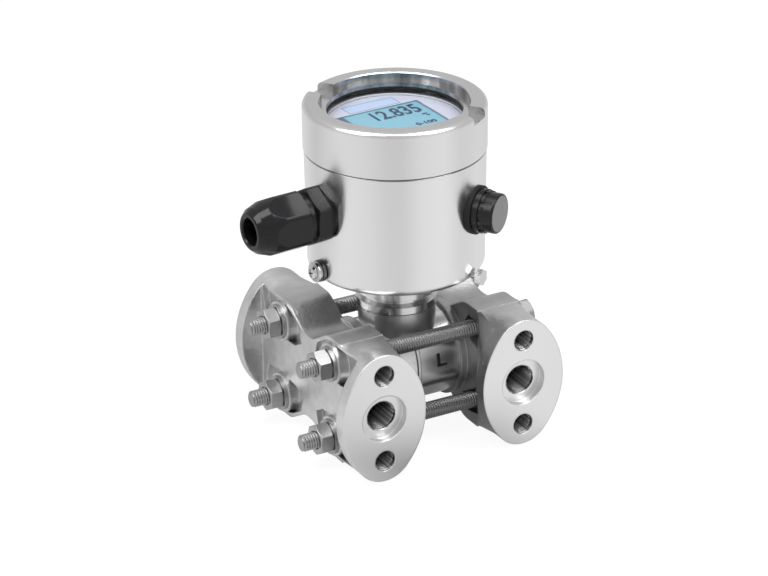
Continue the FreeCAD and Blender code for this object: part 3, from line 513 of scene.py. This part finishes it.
# Painted sheen: a lighter grey disc on the plug's end face, for the light it mirrors
PLUG_FACE_SHEEN = Plastic("plug_face", (0.16, 0.16, 0.16), 0.45)
BLACK_RUBBER = Plastic("black_rubber", (0.008, 0.008, 0.008), 0.6, relief=0.02)
FACE_WHITE = Plastic("face_white", (0.47, 0.47, 0.56), 0.5)
LCD_BLUE = Plastic("lcd_blue", (0.165, 0.36, 0.46), 0.3, relief=0.004, grain=900.0, coat=0.2)
LCD_EDGE = Plastic("lcd_edge", (0.05, 0.10, 0.16), 0.4)
DIGIT_INK = Plastic("digit_ink", (0.015, 0.03, 0.07), 0.5)
FIELD_BLUE = Plastic("field_blue", (0.38, 0.46, 0.62), 0.5)
FIELD_EDGE = Plastic("field_edge", (0.10, 0.15, 0.34), 0.5)
# Black for the printed letters, and painted shade for the cross recess of the ground screw
INK_AND_RECESS_SHADE = Plastic("mark_ink", (0.01, 0.01, 0.01), 0.5)
TRAY_GREY = Plastic("tray_grey", (0.12, 0.12, 0.13), 0.5)
KEY_GREY = Plastic("key_grey", (0.10, 0.10, 0.11), 0.45)
BOARD_GREEN = Plastic("board_green", (0.02, 0.10, 0.04), 0.35)
TERMINAL_GREEN = Plastic("terminal_green", (0.03, 0.16, 0.06), 0.45)
WINDOW = Glass("window")

NODE_FINISHES: Dict[Finish, Tuple[str, ...]] = {
    CAST_STEEL: ("flange_high", "flange_low"),
    SATIN_STEEL: ("housing",),
    COVER_STEEL: ("cover_ring",),
    POLISHED_STEEL: ("swivel_ring",),
    CELL_STEEL: ("measuring_cell",),
    NECK_STEEL: ("cell_neck",),
    NUT_STEEL: ("clamp_nuts", "clamp_washers"),
    SCREW_STEEL: (
        "port_plugs", "ground_screw", "ground_clamp", "lock_screw", "swivel_clip", "board_spacers",
        "display_spacers", "terminal_screws", "cell_diaphragm_high", "cell_diaphragm_low"),
    DARK_STEEL: ("ground_washer",),
    SEAT_PAINTED_LIGHT: ("window_retainer",),
    BLACK_NYLON: ("gland_body", "blanking_plug"),
    GLOSS_NYLON: ("gland_cap",),
    BLACK_RUBBER: (
        "gland_insert", "gland_seal", "plug_seal", "cover_oring", "neck_oring", "window_gasket",
        "cell_seal_high", "cell_seal_low"),
    WINDOW: ("window_glass",),
    FACE_WHITE: ("display_face",),
    LCD_BLUE: ("lcd_panel",),
    TRAY_GREY: ("display_tray",),
    KEY_GREY: ("key_left", "key_middle", "key_right"),
    BOARD_GREEN: ("main_board", "display_board"),
    TERMINAL_GREEN: ("terminal_block",),
}


class Palette:
    """Builds each finish once and puts it on pieces."""

    def __init__(self) -> None:
        """Start with no finish made."""
        self.made: Dict[Finish, bpy.types.Material] = {}

    def material(self, finish: Finish) -> bpy.types.Material:
        """Return the material of a finish."""
        if finish not in self.made:
            self.made[finish] = finish.build()
        return self.made[finish]

    def paint(self, piece: bpy.types.Object, finish: Finish) -> None:
        """Give a piece one finish all over."""
        piece.data.materials.clear()
        piece.data.materials.append(self.material(finish))


class MeshMaker:
    """Collects points and faces in millimetres and makes one piece of them."""

    def __init__(self) -> None:
        """Start with no point and no face."""
        self.points: List[Point] = []
        self.faces: List[Tuple[int, ...]] = []

    def sheet(self, corners: Sequence[Point]) -> None:
        """Add one flat face, given by its corners in order."""
        self.points.extend(corners)
        self.faces.append(tuple(range(len(self.points) - len(corners), len(self.points))))

    def rings(self, rings: Sequence[Sequence[Point]], closed: bool = True, capped: bool = False) -> None:
        """Join a row of rings with equal numbers of points by four-sided faces.

        Args:
            rings: The points of each ring.
            closed: Whether the last point of a ring is joined to its first.
            capped: Whether the first and the last ring are filled.
        """
        start = len(self.points)
        count = len(rings[0])
        for ring in rings:
            self.points.extend(ring)
        for row in range(len(rings) - 1):
            for step in range(count if closed else count - 1):
                here = start + row * count + step
                beside = start + row * count + (step + 1) % count
                self.faces.append((here, beside, beside + count, here + count))
        if capped:
            last = start + (len(rings) - 1) * count
            self.faces.append(tuple(range(start + count - 1, start - 1, -1)))
            self.faces.append(tuple(range(last, last + count)))

    def piece(self, name: str, body: str, slot: str, smooth: bool = True) -> bpy.types.Object:
        """Make the collected mesh into a piece.

        Args:
            name: Its name.
            body: The body that it rides on.
            slot: Not used.
            smooth: Whether its faces are shaded as one smooth surface.

        Returns:
            The piece.
        """
        mesh = bpy.data.meshes.new(name)
        mesh.from_pydata([tuple(c * MM for c in point) for point in self.points], [], self.faces)
        mesh.validate()
        if smooth:
            mesh.shade_smooth()
        piece = bpy.data.objects.new(name, mesh)
        bpy.context.collection.objects.link(piece)
        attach(piece, body)
        LOG.info("%s: %d faces", name, len(mesh.polygons))
        return piece


@dataclass(frozen=True)
class ClampBolts:
    """The four fully threaded bolts, with their heads on the low pressure side.

    Lengths are in millimetres. A head cut is a distance before the head's end and how far the
    corners are cut back there.
    """

    across: float = 24.5
    up: float = 17.9
    tail: float = -62.3
    tip_length: float = 0.8
    tip_cut: float = 0.55
    head_start: float = 48.8
    head_end: float = 54.1
    head_gap: float = 0.02
    head_cuts: Stops = ((0.75, 0.0), (0.5, 0.35), (0.25, 0.78), (0.0, 1.2))
    head_sides: int = 72
    flats: float = 13.0
    corner_share: float = 0.57735
    crest: float = 3.9
    root: float = 3.38
    pitch: float = 1.25
    flank_top: float = 1.35
    flank_slope: float = 3.4
    rings_per_turn: int = 5
    sides: int = 28
    smooth_angle: float = 38.0

    def build(self, palette: Palette) -> None:
        """Make the bolts in place of the plain ones.

        Args:
            palette: Where the finish is made.
        """
        maker = MeshMaker()
        for y, z in ((1, 1), (-1, 1), (-1, -1), (1, -1)):
            self.bolt(maker, AXIS_Y + y * self.across, z * self.up)
        piece = maker.piece("threaded_bolts", "base", "bolt_steel")
        palette.paint(piece, BOLT_STEEL)
        piece.data.set_sharp_from_angle(angle=math.radians(self.smooth_angle))
        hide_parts("clamp_bolts")

    def bolt(self, maker: MeshMaker, y: float, z: float) -> None:
        """Add one bolt on an axis along X.

        Args:
            maker: Where it is added.
            y: Y of its axis.
            z: Z of its axis.
        """
        rows = []
        count = int((self.head_start - self.tail) / self.pitch * self.rings_per_turn)
        for row in range(count + 1):
            x = self.tail + (self.head_start - self.tail) * row / count
            full = min(1.0, (x - self.tail) / self.tip_length)
            cut = (1 - full) * self.tip_cut
            rows.append(self.ring(x, y, z, self.sides,
                                  lambda turn, x=x, cut=cut: self.thread(x, turn) - cut))
        maker.rings(rows, capped=True)
        levels = [(self.head_start + self.head_gap, 0.0)]
        levels += [(self.head_end - before, cut) for before, cut in self.head_cuts]
        head = [self.ring(x, y, z, self.head_sides, lambda turn, cut=cut: self.hexagon(turn, cut))
                for x, cut in levels]
        maker.rings(head, capped=True)

    def ring(self, x: float, y: float, z: float, sides: int,
             radius: Callable[[float], float]) -> List[Point]:
        """Return the points of one ring round a bolt, with the radius at each turn in radians."""
        turns = [math.tau * step / sides for step in range(sides)]
        return [(x, y + radius(turn) * math.cos(turn), z + radius(turn) * math.sin(turn)) for turn in turns]

    def thread(self, x: float, turn: float) -> float:
        """Return the radius of the thread at a place along and round the bolt."""
        away = abs(((x - self.tail) / self.pitch - turn / math.tau) % 1.0 - 0.5) * self.flank_slope
        return self.root + (self.crest - self.root) * min(1.0, max(0.0, self.flank_top - away))

    def hexagon(self, turn: float, cut: float) -> float:
        """Return the radius of a hexagon whose corners are cut back by a cone."""
        part = (turn + math.radians(30)) % math.radians(60) - math.radians(30)
        return min(self.flats / 2 / math.cos(part), self.flats * self.corner_share - cut)


@dataclass(frozen=True)
class TappedHoles:
    """The threads in the ports and in the tapped holes of the process faces.

    Lengths are in millimetres. The foot and the crest of a ridge are shares of the pitch.
    """

    side: Side
    hole_radius: float = 4.9
    hole_pitch: float = 1.5
    hole_start: float = 1.2
    hole_depth: float = 14.0
    port_radius: float = 6.8
    port_pitch: float = 1.41
    port_start: float = 3.7
    port_depth: float = 16.0
    height: float = 0.55
    foot: float = 0.48
    crest: float = 0.08
    sunk: float = 0.1
    steps: int = 32
    run_out: float = 10.0

    def build(self, palette: Palette) -> None:
        """Make the threads of one flange as ridges in its plain holes.

        Args:
            palette: Where the finish is made.
        """
        maker = MeshMaker()
        length = AXIS_Y * 2
        for up in (HOLE_UP, -HOLE_UP):
            self.helix(maker, up, (self.hole_start, self.hole_depth), self.hole_radius, self.hole_pitch)
            self.helix(maker, up, (length - self.hole_start, length - self.hole_depth),
                       self.hole_radius, self.hole_pitch)
        self.helix(maker, 0.0, (self.port_start, self.port_start + self.port_depth),
                   self.port_radius, self.port_pitch)
        piece = maker.piece("port_threads_" + self.side.name.lower(), "base", "cast_steel", False)
        palette.paint(piece, CAST_STEEL)

    def helix(self, maker: MeshMaker, z: float, reach: Tuple[float, float], radius: float,
              pitch: float) -> None:
        """Add one inside thread along Y.

        Args:
            maker: Where it is added.
            z: Height of its axis.
            reach: Y of its start and of its end.
            radius: Radius of the plain hole.
            pitch: Distance from one turn to the next.
        """
        start, end = reach
        x = PORT_X * self.side.value
        way = 1.0 if end > start else -1.0
        count = int(abs(end - start) / pitch * self.steps)
        rows = []
        for step in range(count + 1):
            turn = math.tau * step / self.steps
            y = start + way * pitch * step / self.steps
            rise = self.height * min(1.0, step / self.run_out, (count - step) / self.run_out)
            row = []
            for along, inward in ((-self.foot, -self.sunk), (-self.crest, rise), (self.crest, rise),
                                  (self.foot, -self.sunk)):
                r = radius - inward
                row.append((x + r * math.cos(turn), y + along * pitch, z - way * r * math.sin(turn)))
            rows.append(row)
        maker.rings(rows, closed=False)


@dataclass(frozen=True)
class WallFitting:
    """A place on the housing wall, with an axis that points out of it.

    Lengths are in millimetres. An outline is a row of distances along that axis and radii.
    """

    turn: float
    height: float
    steps: int = 40

    def at(self, out: float, side: float, up: float) -> Point:
        """Return a point out of the housing axis, and across and above the fitting's axis."""
        angle = math.radians(self.turn)
        return (out * math.cos(angle) - side * math.sin(angle),
                AXIS_Y + out * math.sin(angle) + side * math.cos(angle), self.height + up)

    def turned(self, maker: MeshMaker, profile: Stops) -> None:
        """Add a shape with an outline turned about the fitting's axis."""
        turns = [math.tau * step / self.steps for step in range(self.steps)]
        maker.rings([[self.at(out, radius * math.cos(turn), radius * math.sin(turn)) for turn in turns]
                     for out, radius in profile])


@dataclass(frozen=True)
class PlugTrim:
    """The face and the grip of the blanking plug, in millimetres and degrees."""

    place: WallFitting = WallFitting(PLUG_TURN, 79.3)
    end: float = 51.0
    radius: float = 9.0
    face: Stops = ((0.01, 0.01), (0.03, 7.8), (0.01, 8.0))
    grip_start: float = 44.3
    grip_end: float = 45.9
    grip_rise: float = 0.6
    grips: int = 9
    sunk: float = -0.1

    def build(self, palette: Palette) -> None:
        """Make the face, a lighter disc of painted sheen, and the grip.

        Args:
            palette: Where the finishes are made.
        """
        maker = MeshMaker()
        # The face is a disc of painted sheen
        self.place.turned(maker, [(self.end + out, radius) for out, radius in self.face])
        palette.paint(maker.piece("plug_face", "head", "black_nylon"), PLUG_FACE_SHEEN)
        maker = MeshMaker()
        for step in range(self.grips):
            self.grip(maker, 360.0 * step / self.grips)
        palette.paint(maker.piece("plug_grip", "head", "black_nylon", False), BLACK_NYLON)

    def grip(self, maker: MeshMaker, turn: float) -> None:
        """Add one rib of the plug's grip.

        Args:
            maker: Where it is added.
            turn: Where it lies round the plug, in degrees.
        """
        rows = []
        for out, rise in ((self.grip_start, self.sunk), (self.grip_start + 0.1, self.grip_rise),
                          (self.grip_end, self.grip_rise), (self.grip_end + 0.5, self.sunk)):
            row = []
            for spread, part in ((-15.0, self.sunk), (-13.0, rise), (-5.0, rise), (5.0, rise), (13.0, rise),
                                 (15.0, self.sunk)):
                angle = math.radians(turn + spread)
                radius = self.radius + part
                row.append(self.place.at(out, radius * math.cos(angle), radius * math.sin(angle)))
            rows.append(row)
        maker.rings(rows, closed=False)


@dataclass(frozen=True)
class GroundTerminal:
    """The outside ground screw with its cupped washer, in millimetres from the washer's back."""

    place: WallFitting = WallFitting(GROUND_TURN, 52.6)
    start: float = 41.0
    washer: Stops = ((0.0, 0.01), (0.0, 4.2), (0.4, 4.7), (1.9, 4.75), (2.5, 4.5), (2.6, 4.2), (2.3, 3.9),
                     (1.6, 3.7), (1.6, 2.9))
    head: Stops = ((1.6, 2.9), (2.4, 3.1), (3.2, 2.95), (3.9, 2.3), (4.17, 1.2), (4.2, 0.01))
    recess_out: float = 4.23
    recess_half: float = 1.7
    recess_width: float = 0.3
    recess_turns: Tuple[float, float] = (20.0, 110.0)

    def build(self, palette: Palette) -> None:
        """Make the washer with its screw, and dark bars of painted shade for the screw's cross recess.

        Args:
            palette: Where the finishes are made.
        """
        maker = MeshMaker()
        for profile in (self.washer, self.head):
            self.place.turned(maker, [(self.start + out, radius) for out, radius in profile])
        screw = maker.piece("ground_terminal", "head", "screw_steel")
        palette.paint(screw, SCREW_STEEL)
        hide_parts("ground_clamp", "ground_screw")
        # The cross recess is painted shade: flat dark bars on the head
        maker = MeshMaker()
        for turn in self.recess_turns:
            self.bar(maker, math.radians(turn))
        palette.paint(maker.piece("ground_recess", "head", "screw_steel", False), INK_AND_RECESS_SHADE)

    def bar(self, maker: MeshMaker, turn: float) -> None:
        """Add one dark bar of painted shade for the cross recess.

        Args:
            maker: Where it is added.
            turn: Its direction, in radians.
        """
        corners = []
        for end, edge in ((-1, -1), (1, -1), (1, 1), (-1, 1)):
            along, across = end * self.recess_half, edge * self.recess_width
            corners.append(self.place.at(self.start + self.recess_out,
                                         along * math.cos(turn) - across * math.sin(turn),
                                         along * math.sin(turn) + across * math.cos(turn)))
        maker.sheet(corners)


@dataclass(frozen=True)
class Lettering:
    """Flat characters, with the height of a line and the bolding of a stroke in millimetres."""

    size: float
    body: str
    slot: str
    finish: Finish
    squeeze: float = 1.0
    bold: float = 0.0

    def build(self, name: str, text: str, place: Matrix, palette: Palette, bend: float = 0.0) -> None:
        """Make characters lying in the plane of a matrix.

        Args:
            name: Its name.
            text: The characters.
            place: Matrix in metres whose X runs along the text and Z out of it.
            palette: Where the finish is made.
            bend: Radius in millimetres of a cylinder along X that the text follows, or 0.
        """
        curve = bpy.data.curves.new(name, "FONT")
        curve.body = text
        curve.size = self.size * MM
        curve.align_x = "CENTER"
        curve.align_y = "CENTER"
        curve.resolution_u = 4
        curve.offset = self.bold * MM
        source = bpy.data.objects.new(name, curve)
        mesh = bpy.data.meshes.new_from_object(source)
        bpy.data.objects.remove(source)
        for vertex in mesh.vertices:
            vertex.co.x *= self.squeeze
        if bend:
            self.roll(mesh, bend * MM)
        mesh.transform(place)
        piece = bpy.data.objects.new(name, mesh)
        bpy.context.collection.objects.link(piece)
        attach(piece, self.body)
        palette.paint(piece, self.finish)
        LOG.info("%s: %d faces", name, len(mesh.polygons))

    def roll(self, mesh: bpy.types.Mesh, radius: float) -> None:
        """Lay flat characters on a cylinder along X, cut into narrow strips first.

        Args:
            mesh: The characters, flat about Z = 0.
            radius: Radius of the cylinder in metres.
        """
        work = bmesh.new()
        work.from_mesh(mesh)
        strips, reach = 12, 0.6
        for step in range(1 - strips, strips):
            every = work.verts[:] + work.edges[:] + work.faces[:]
            spot = Vector((0, self.size * MM * reach * step / strips, 0))
            bmesh.ops.bisect_plane(work, geom=every, plane_co=spot, plane_no=(0, 1, 0))
        for vertex in work.verts:
            turn = vertex.co.y / radius
            vertex.co.z = radius * math.cos(turn)
            vertex.co.y = radius * math.sin(turn)
        work.to_mesh(mesh)
        work.free()


@dataclass(frozen=True)
class Box:
    """A flat rectangle on the display, in millimetres from the housing axis."""

    left: float
    low: float
    right: float
    high: float

    def frame(self, width: float, left_width: float) -> List["Box"]:
        """Return the four bars of its border, which don't overlap."""
        low, high = self.low + width, self.high - width
        return [Box(self.left, high, self.right, self.high),
                Box(self.left, low, self.left + left_width, high),
                Box(self.right - width, low, self.right, high), Box(self.left, self.low, self.right, low)]


@dataclass(frozen=True)
class Display:
    """What the display shows: plain digits, their unit and their range, and a bare field behind."""

    turn: float = 2.0
    top: float = 114.02
    panel: Box = Box(-20.5, -14.0, 20.5, 15.5)
    panel_edge: float = 0.7
    panel_left_edge: float = 3.0
    field: Box = Box(-13.0, 16.6, 12.8, 24.6)
    field_rise: float = 0.22
    field_edge: float = 0.32
    field_edge_rise: float = 0.02

    def build(self, palette: Palette) -> None:
        """Make the panel's dark edge, what it shows, and the bare field with its thin border.

        Args:
            palette: Where the finishes are made.
        """
        self.plates("display_edge", "lcd", self.panel.frame(self.panel_edge, self.panel_left_edge), 0.0,
                    LCD_EDGE, palette)
        big = Lettering(13.6, "head", "lcd", DIGIT_INK, squeeze=0.68, bold=0.34)
        big.build("display_value", "12.835", self.at(4.7, 7.7), palette)
        small = Lettering(4.3, "head", "lcd", DIGIT_INK, bold=0.2)
        small.build("display_unit", "%", self.at(15.6, -0.7), palette)
        small.build("display_row", "0-100", self.at(10.8, -8.9), palette)
        self.plates("face_field", "face_white", [self.field], self.field_rise, FIELD_BLUE, palette)
        self.plates("face_field_edge", "face_white", self.field.frame(self.field_edge, self.field_edge),
                    self.field_rise + self.field_edge_rise, FIELD_EDGE, palette)

    def at(self, x: float, y: float) -> Matrix:
        """Return the matrix of a place on the panel."""
        spin = Matrix.Rotation(math.radians(self.turn), 4, "Z")
        return (Matrix.Translation((0, AXIS, self.top * MM)) @ spin
                @ Matrix.Translation((x * MM, y * MM, 0)))

    def plates(self, name: str, slot: str, boxes: Sequence[Box], rise: float, finish: Finish,
               palette: Palette) -> None:
        """Make flat rectangles as one piece.

        Args:
            name: Its name.
            slot: Handed on to the piece.
            boxes: The rectangles.
            rise: Their height above the panel in millimetres.
            finish: Their finish.
            palette: Where the finish is made.
        """
        maker = MeshMaker()
        for box in boxes:
            corners = ((box.left, box.low), (box.right, box.low),
                       (box.right, box.high), (box.left, box.high))
            maker.sheet([tuple(self.at(x, y) @ Vector((0, 0, rise * MM)) / MM) for x, y in corners])
        palette.paint(maker.piece(name, "head", slot, False), finish)


@dataclass(frozen=True)
class CellMarks:
    """The letters on the cell that name its high and low pressure sides."""

    radius: float = 21.06
    size: float = 8.6
    low_x: float = 11.3
    raise_by: float = 9.0

    def build(self, palette: Palette) -> None:
        """Make both letters on the front of the cell.

        Args:
            palette: Where the finish is made.
        """
        letters = Lettering(self.size, "base", "cell_steel", INK_AND_RECESS_SHADE, squeeze=1.25, bold=0.2)
        turn = Matrix.Rotation(math.radians(90 - self.raise_by), 4, "X")
        for side, text in ((Side.LOW, "L"), (Side.HIGH, "H")):
            place = Matrix.Translation((self.low_x * side.value * MM, AXIS, 0)) @ turn
            letters.build("mark_" + side.name.lower(), text, place, palette, self.radius)


@dataclass(frozen=True)
class Lamp:
    """A large soft lamp: degrees left of the camera, degrees up, watts, and sizes in metres."""

    name: str
    turn: float
    rise: float
    power: float
    width: float = 0.55
    height: float = 0.9
    aim: float = 60.0

    def build(self, azimuth: float) -> None:
        """Place the lamp a metre from the part.

        Args:
            azimuth: The camera's direction in degrees.
        """
        data = bpy.data.lights.new(self.name, "AREA")
        data.shape = "RECTANGLE"
        data.size = self.width
        data.size_y = self.height
        data.energy = self.power
        lamp = bpy.data.objects.new(self.name, data)
        side, rise = math.radians(azimuth - self.turn), math.radians(self.rise)
        way = Vector((math.sin(side) * math.cos(rise), -math.cos(side) * math.cos(rise), math.sin(rise)))
        lamp.location = Vector((0, AXIS, self.aim * MM)) + way
        lamp.rotation_mode = "QUATERNION"
        lamp.rotation_quaternion = (-way).to_track_quat("-Z", "Y")
        bpy.context.collection.objects.link(lamp)
        lamp["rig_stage"] = True


@dataclass(frozen=True)
class Studio:
    """White floor, soft light and the camera of the photo.

    Lengths are in millimetres and angles in degrees. A band is a direction, turned from the
    camera's, and how bright it is mirrored.
    """

    azimuth: float = -28.491
    elevation: float = 25.117
    roll: float = -0.644
    eye: Point = (-584.3, -1012.5, 602.8)
    lens: float = 140.34
    sensor: float = 36.0
    floor: float = -31.2
    floor_half: float = 6000.0
    floor_mirrored: float = 0.8
    floor_glow: float = 0.9
    seen_white: float = 1.03
    soft_light: float = 0.55
    bands: Stops = ((-180, 0.62), (-140, 0.80), (-110, 0.66), (-70, 0.92), (-35, 0.84), (-8, 0.70),
                    (8, 0.70), (30, 0.90), (60, 0.97), (85, 0.80), (120, 0.88), (150, 0.72), (180, 0.62))
    sky_levels: Stops = ((0.0, 0.85), (0.4, 0.62), (0.7, 0.8), (1.0, 0.7))
    lamps: Tuple[Lamp, Lamp] = (Lamp("left", 62.0, 58.0, 9.0), Lamp("right", -62.0, 58.0, 8.0))

    def build(self) -> None:
        """Set up the whole studio."""
        self.camera()
        self.ground()
        self.sky()
        for lamp in self.lamps:
            lamp.build(self.azimuth)

    def camera(self) -> None:
        """Place the camera."""
        azimuth, elevation, roll = (math.radians(a) for a in (self.azimuth, self.elevation, self.roll))
        back = Vector((math.sin(azimuth) * math.cos(elevation), -math.cos(azimuth) * math.cos(elevation),
                       math.sin(elevation)))
        right = Vector((math.cos(azimuth), math.sin(azimuth), 0))
        up = back.cross(right)
        tilted = right * math.cos(roll) + up * math.sin(roll)
        upright = up * math.cos(roll) - right * math.sin(roll)
        data = bpy.data.cameras.new("camera")
        data.lens = self.lens
        data.sensor_width = self.sensor
        data.clip_start = 0.05
        data.clip_end = 50.0
        camera = bpy.data.objects.new("camera", data)
        rows = Matrix((tilted, upright, back)).transposed().to_4x4()
        camera.matrix_world = Matrix.Translation([c * MM for c in self.eye]) @ rows
        bpy.context.collection.objects.link(camera)
        bpy.context.scene.camera = camera
        bpy.context.scene.view_settings.view_transform = "Standard"

    def ground(self) -> None:
        """Make the white floor, which takes a soft shadow and is banded only where it is mirrored, with a
        painted shadow there in and near the gap between the flanges.
        """
        mesh = bpy.data.meshes.new("floor")
        half, z = self.floor_half * MM, self.floor * MM
        mesh.from_pydata([(-half, -half, z), (half, -half, z), (half, half, z), (-half, half, z)], [],
                         [(0, 1, 2, 3)])
        floor = bpy.data.objects.new("floor", mesh)
        bpy.context.collection.objects.link(floor)
        material = bpy.data.materials.new("floor_white")
        material.use_nodes = True
        graph = Graph(material.node_tree)
        spot = graph.add("SeparateXYZ", {0: graph.add("NewGeometry").outputs["Position"]}).outputs
        away = graph.minus(spot[1], AXIS)
        # Where it is mirrored, the floor glows in bands with a painted shadow under the part
        level = graph.times(self.banded(graph, spot[0], away), self.painted_floor_shadow(graph, spot[0], away))
        diffuse = graph.add("BsdfDiffuse", {0: (0.92, 0.92, 0.92, 1.0)}).outputs[0]
        mirrored = graph.add("Emission", {0: WHITE, 1: level}).outputs[0]
        glow = graph.add("Emission", {0: WHITE, 1: self.seen_white}).outputs[0]
        path = graph.add("LightPath").outputs
        share = graph.times(path["Is Glossy Ray"], self.floor_mirrored)
        first = graph.add("MixShader", {0: share, 1: diffuse, 2: mirrored})
        share = graph.times(path["Is Camera Ray"], self.floor_glow)
        last = graph.add("MixShader", {0: share, 1: first.outputs[0], 2: glow})
        graph.add("OutputMaterial", {0: last.outputs[0]})
        mesh.materials.append(material)
        floor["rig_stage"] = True

    def banded(self, graph: Graph, x: Value, y: Value) -> Socket:
        """Find how bright the low surroundings are in a direction.

        Args:
            graph: The node tree.
            x: How far the direction goes along X.
            y: How far it goes along Y.

        Returns:
            The brightness, in soft upright bands.
        """
        turned = math.radians(self.azimuth)
        side = graph.plus(graph.times(x, math.cos(turned)), graph.times(y, math.sin(turned)))
        deep = graph.minus(graph.times(y, math.cos(turned)), graph.times(x, math.sin(turned)))
        turn = graph.math("ARCTAN2", side, graph.times(deep, -1.0))
        stops = [(angle / 360 + 0.5, level) for angle, level in self.bands]
        return graph.ramp(graph.plus(graph.over(turn, math.tau), 0.5), stops)

    def painted_floor_shadow(self, graph: Graph, x: Value, y: Value) -> Socket:
        """Paint the floor's shadow where it is mirrored: how much light is left in and near the gap between
        the flanges.

        Args:
            graph: The node tree.
            x: Metres along X from the housing axis.
            y: Metres along Y from it.

        Returns:
            The share of the light.
        """
        half_gap, half_length, fade = 18, 62, 40
        across = graph.minus(graph.plain(x), half_gap * MM)
        along = graph.minus(graph.plain(y), half_length * MM)
        out = graph.math("MAXIMUM", graph.math("MAXIMUM", across, along), 0.0)
        return graph.ramp(graph.over(out, fade * MM), ((0.0, 0.25), (1.0, 1.0)))

    def sky(self) -> None:
        """Make the surroundings: white where seen, with soft light from both sides where mirrored."""
        world = bpy.data.worlds.new("studio")
        world.use_nodes = True
        bpy.context.scene.world = world
        graph = Graph(world.node_tree)
        parts = graph.add("SeparateXYZ", {0: graph.add("TexCoord").outputs["Generated"]}).outputs
        high = graph.ramp(graph.math("MAXIMUM", parts[2], 0.0), self.sky_levels)
        low = self.banded(graph, parts[0], parts[1])
        level = graph.mix(graph.ramp(parts[2], ((0.0, 0.0), (0.35, 1.0))), low, high)
        mirrored, soft, white = (graph.add("Background", {0: WHITE, 1: strength}).outputs[0]
                                 for strength in (level, self.soft_light, self.seen_white))
        path = graph.add("LightPath").outputs
        first = graph.add("MixShader", {0: path["Is Glossy Ray"], 1: soft, 2: mirrored})
        last = graph.add("MixShader", {0: path["Is Camera Ray"], 1: first.outputs[0], 2: white})
        graph.add("OutputWorld", {0: last.outputs[0]})


class Transmitter:
    """The whole part: finishes on the solids, and the fine pieces added to them."""

    def __init__(self) -> None:
        """Start with an empty palette and the list of fine pieces."""
        self.palette = Palette()
        self.pieces = (ClampBolts(), TappedHoles(Side.HIGH), TappedHoles(Side.LOW), PlugTrim(),
                       GroundTerminal(), CellMarks(), Display())

    def build(self) -> None:
        """Finish every solid and add the fine pieces."""
        for finish, nodes in NODE_FINISHES.items():
            for node in nodes:
                self.palette.paint(frame["nodes"][node], finish)
        LOG.info("finished %d solids", sum(len(nodes) for nodes in NODE_FINISHES.values()))
        for piece in self.pieces:
            piece.build(self.palette)


def main() -> None:
    """Build the part's looks and its studio."""
    logging.basicConfig(level=logging.INFO, format="%(name)s %(message)s")
    for item in [o for o in bpy.data.objects if o.name in ("Cube", "Camera", "Light")]:
        bpy.data.objects.remove(item)
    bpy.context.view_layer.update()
    Transmitter().build()
    Studio().build()


if __name__ == "__main__":
    main()
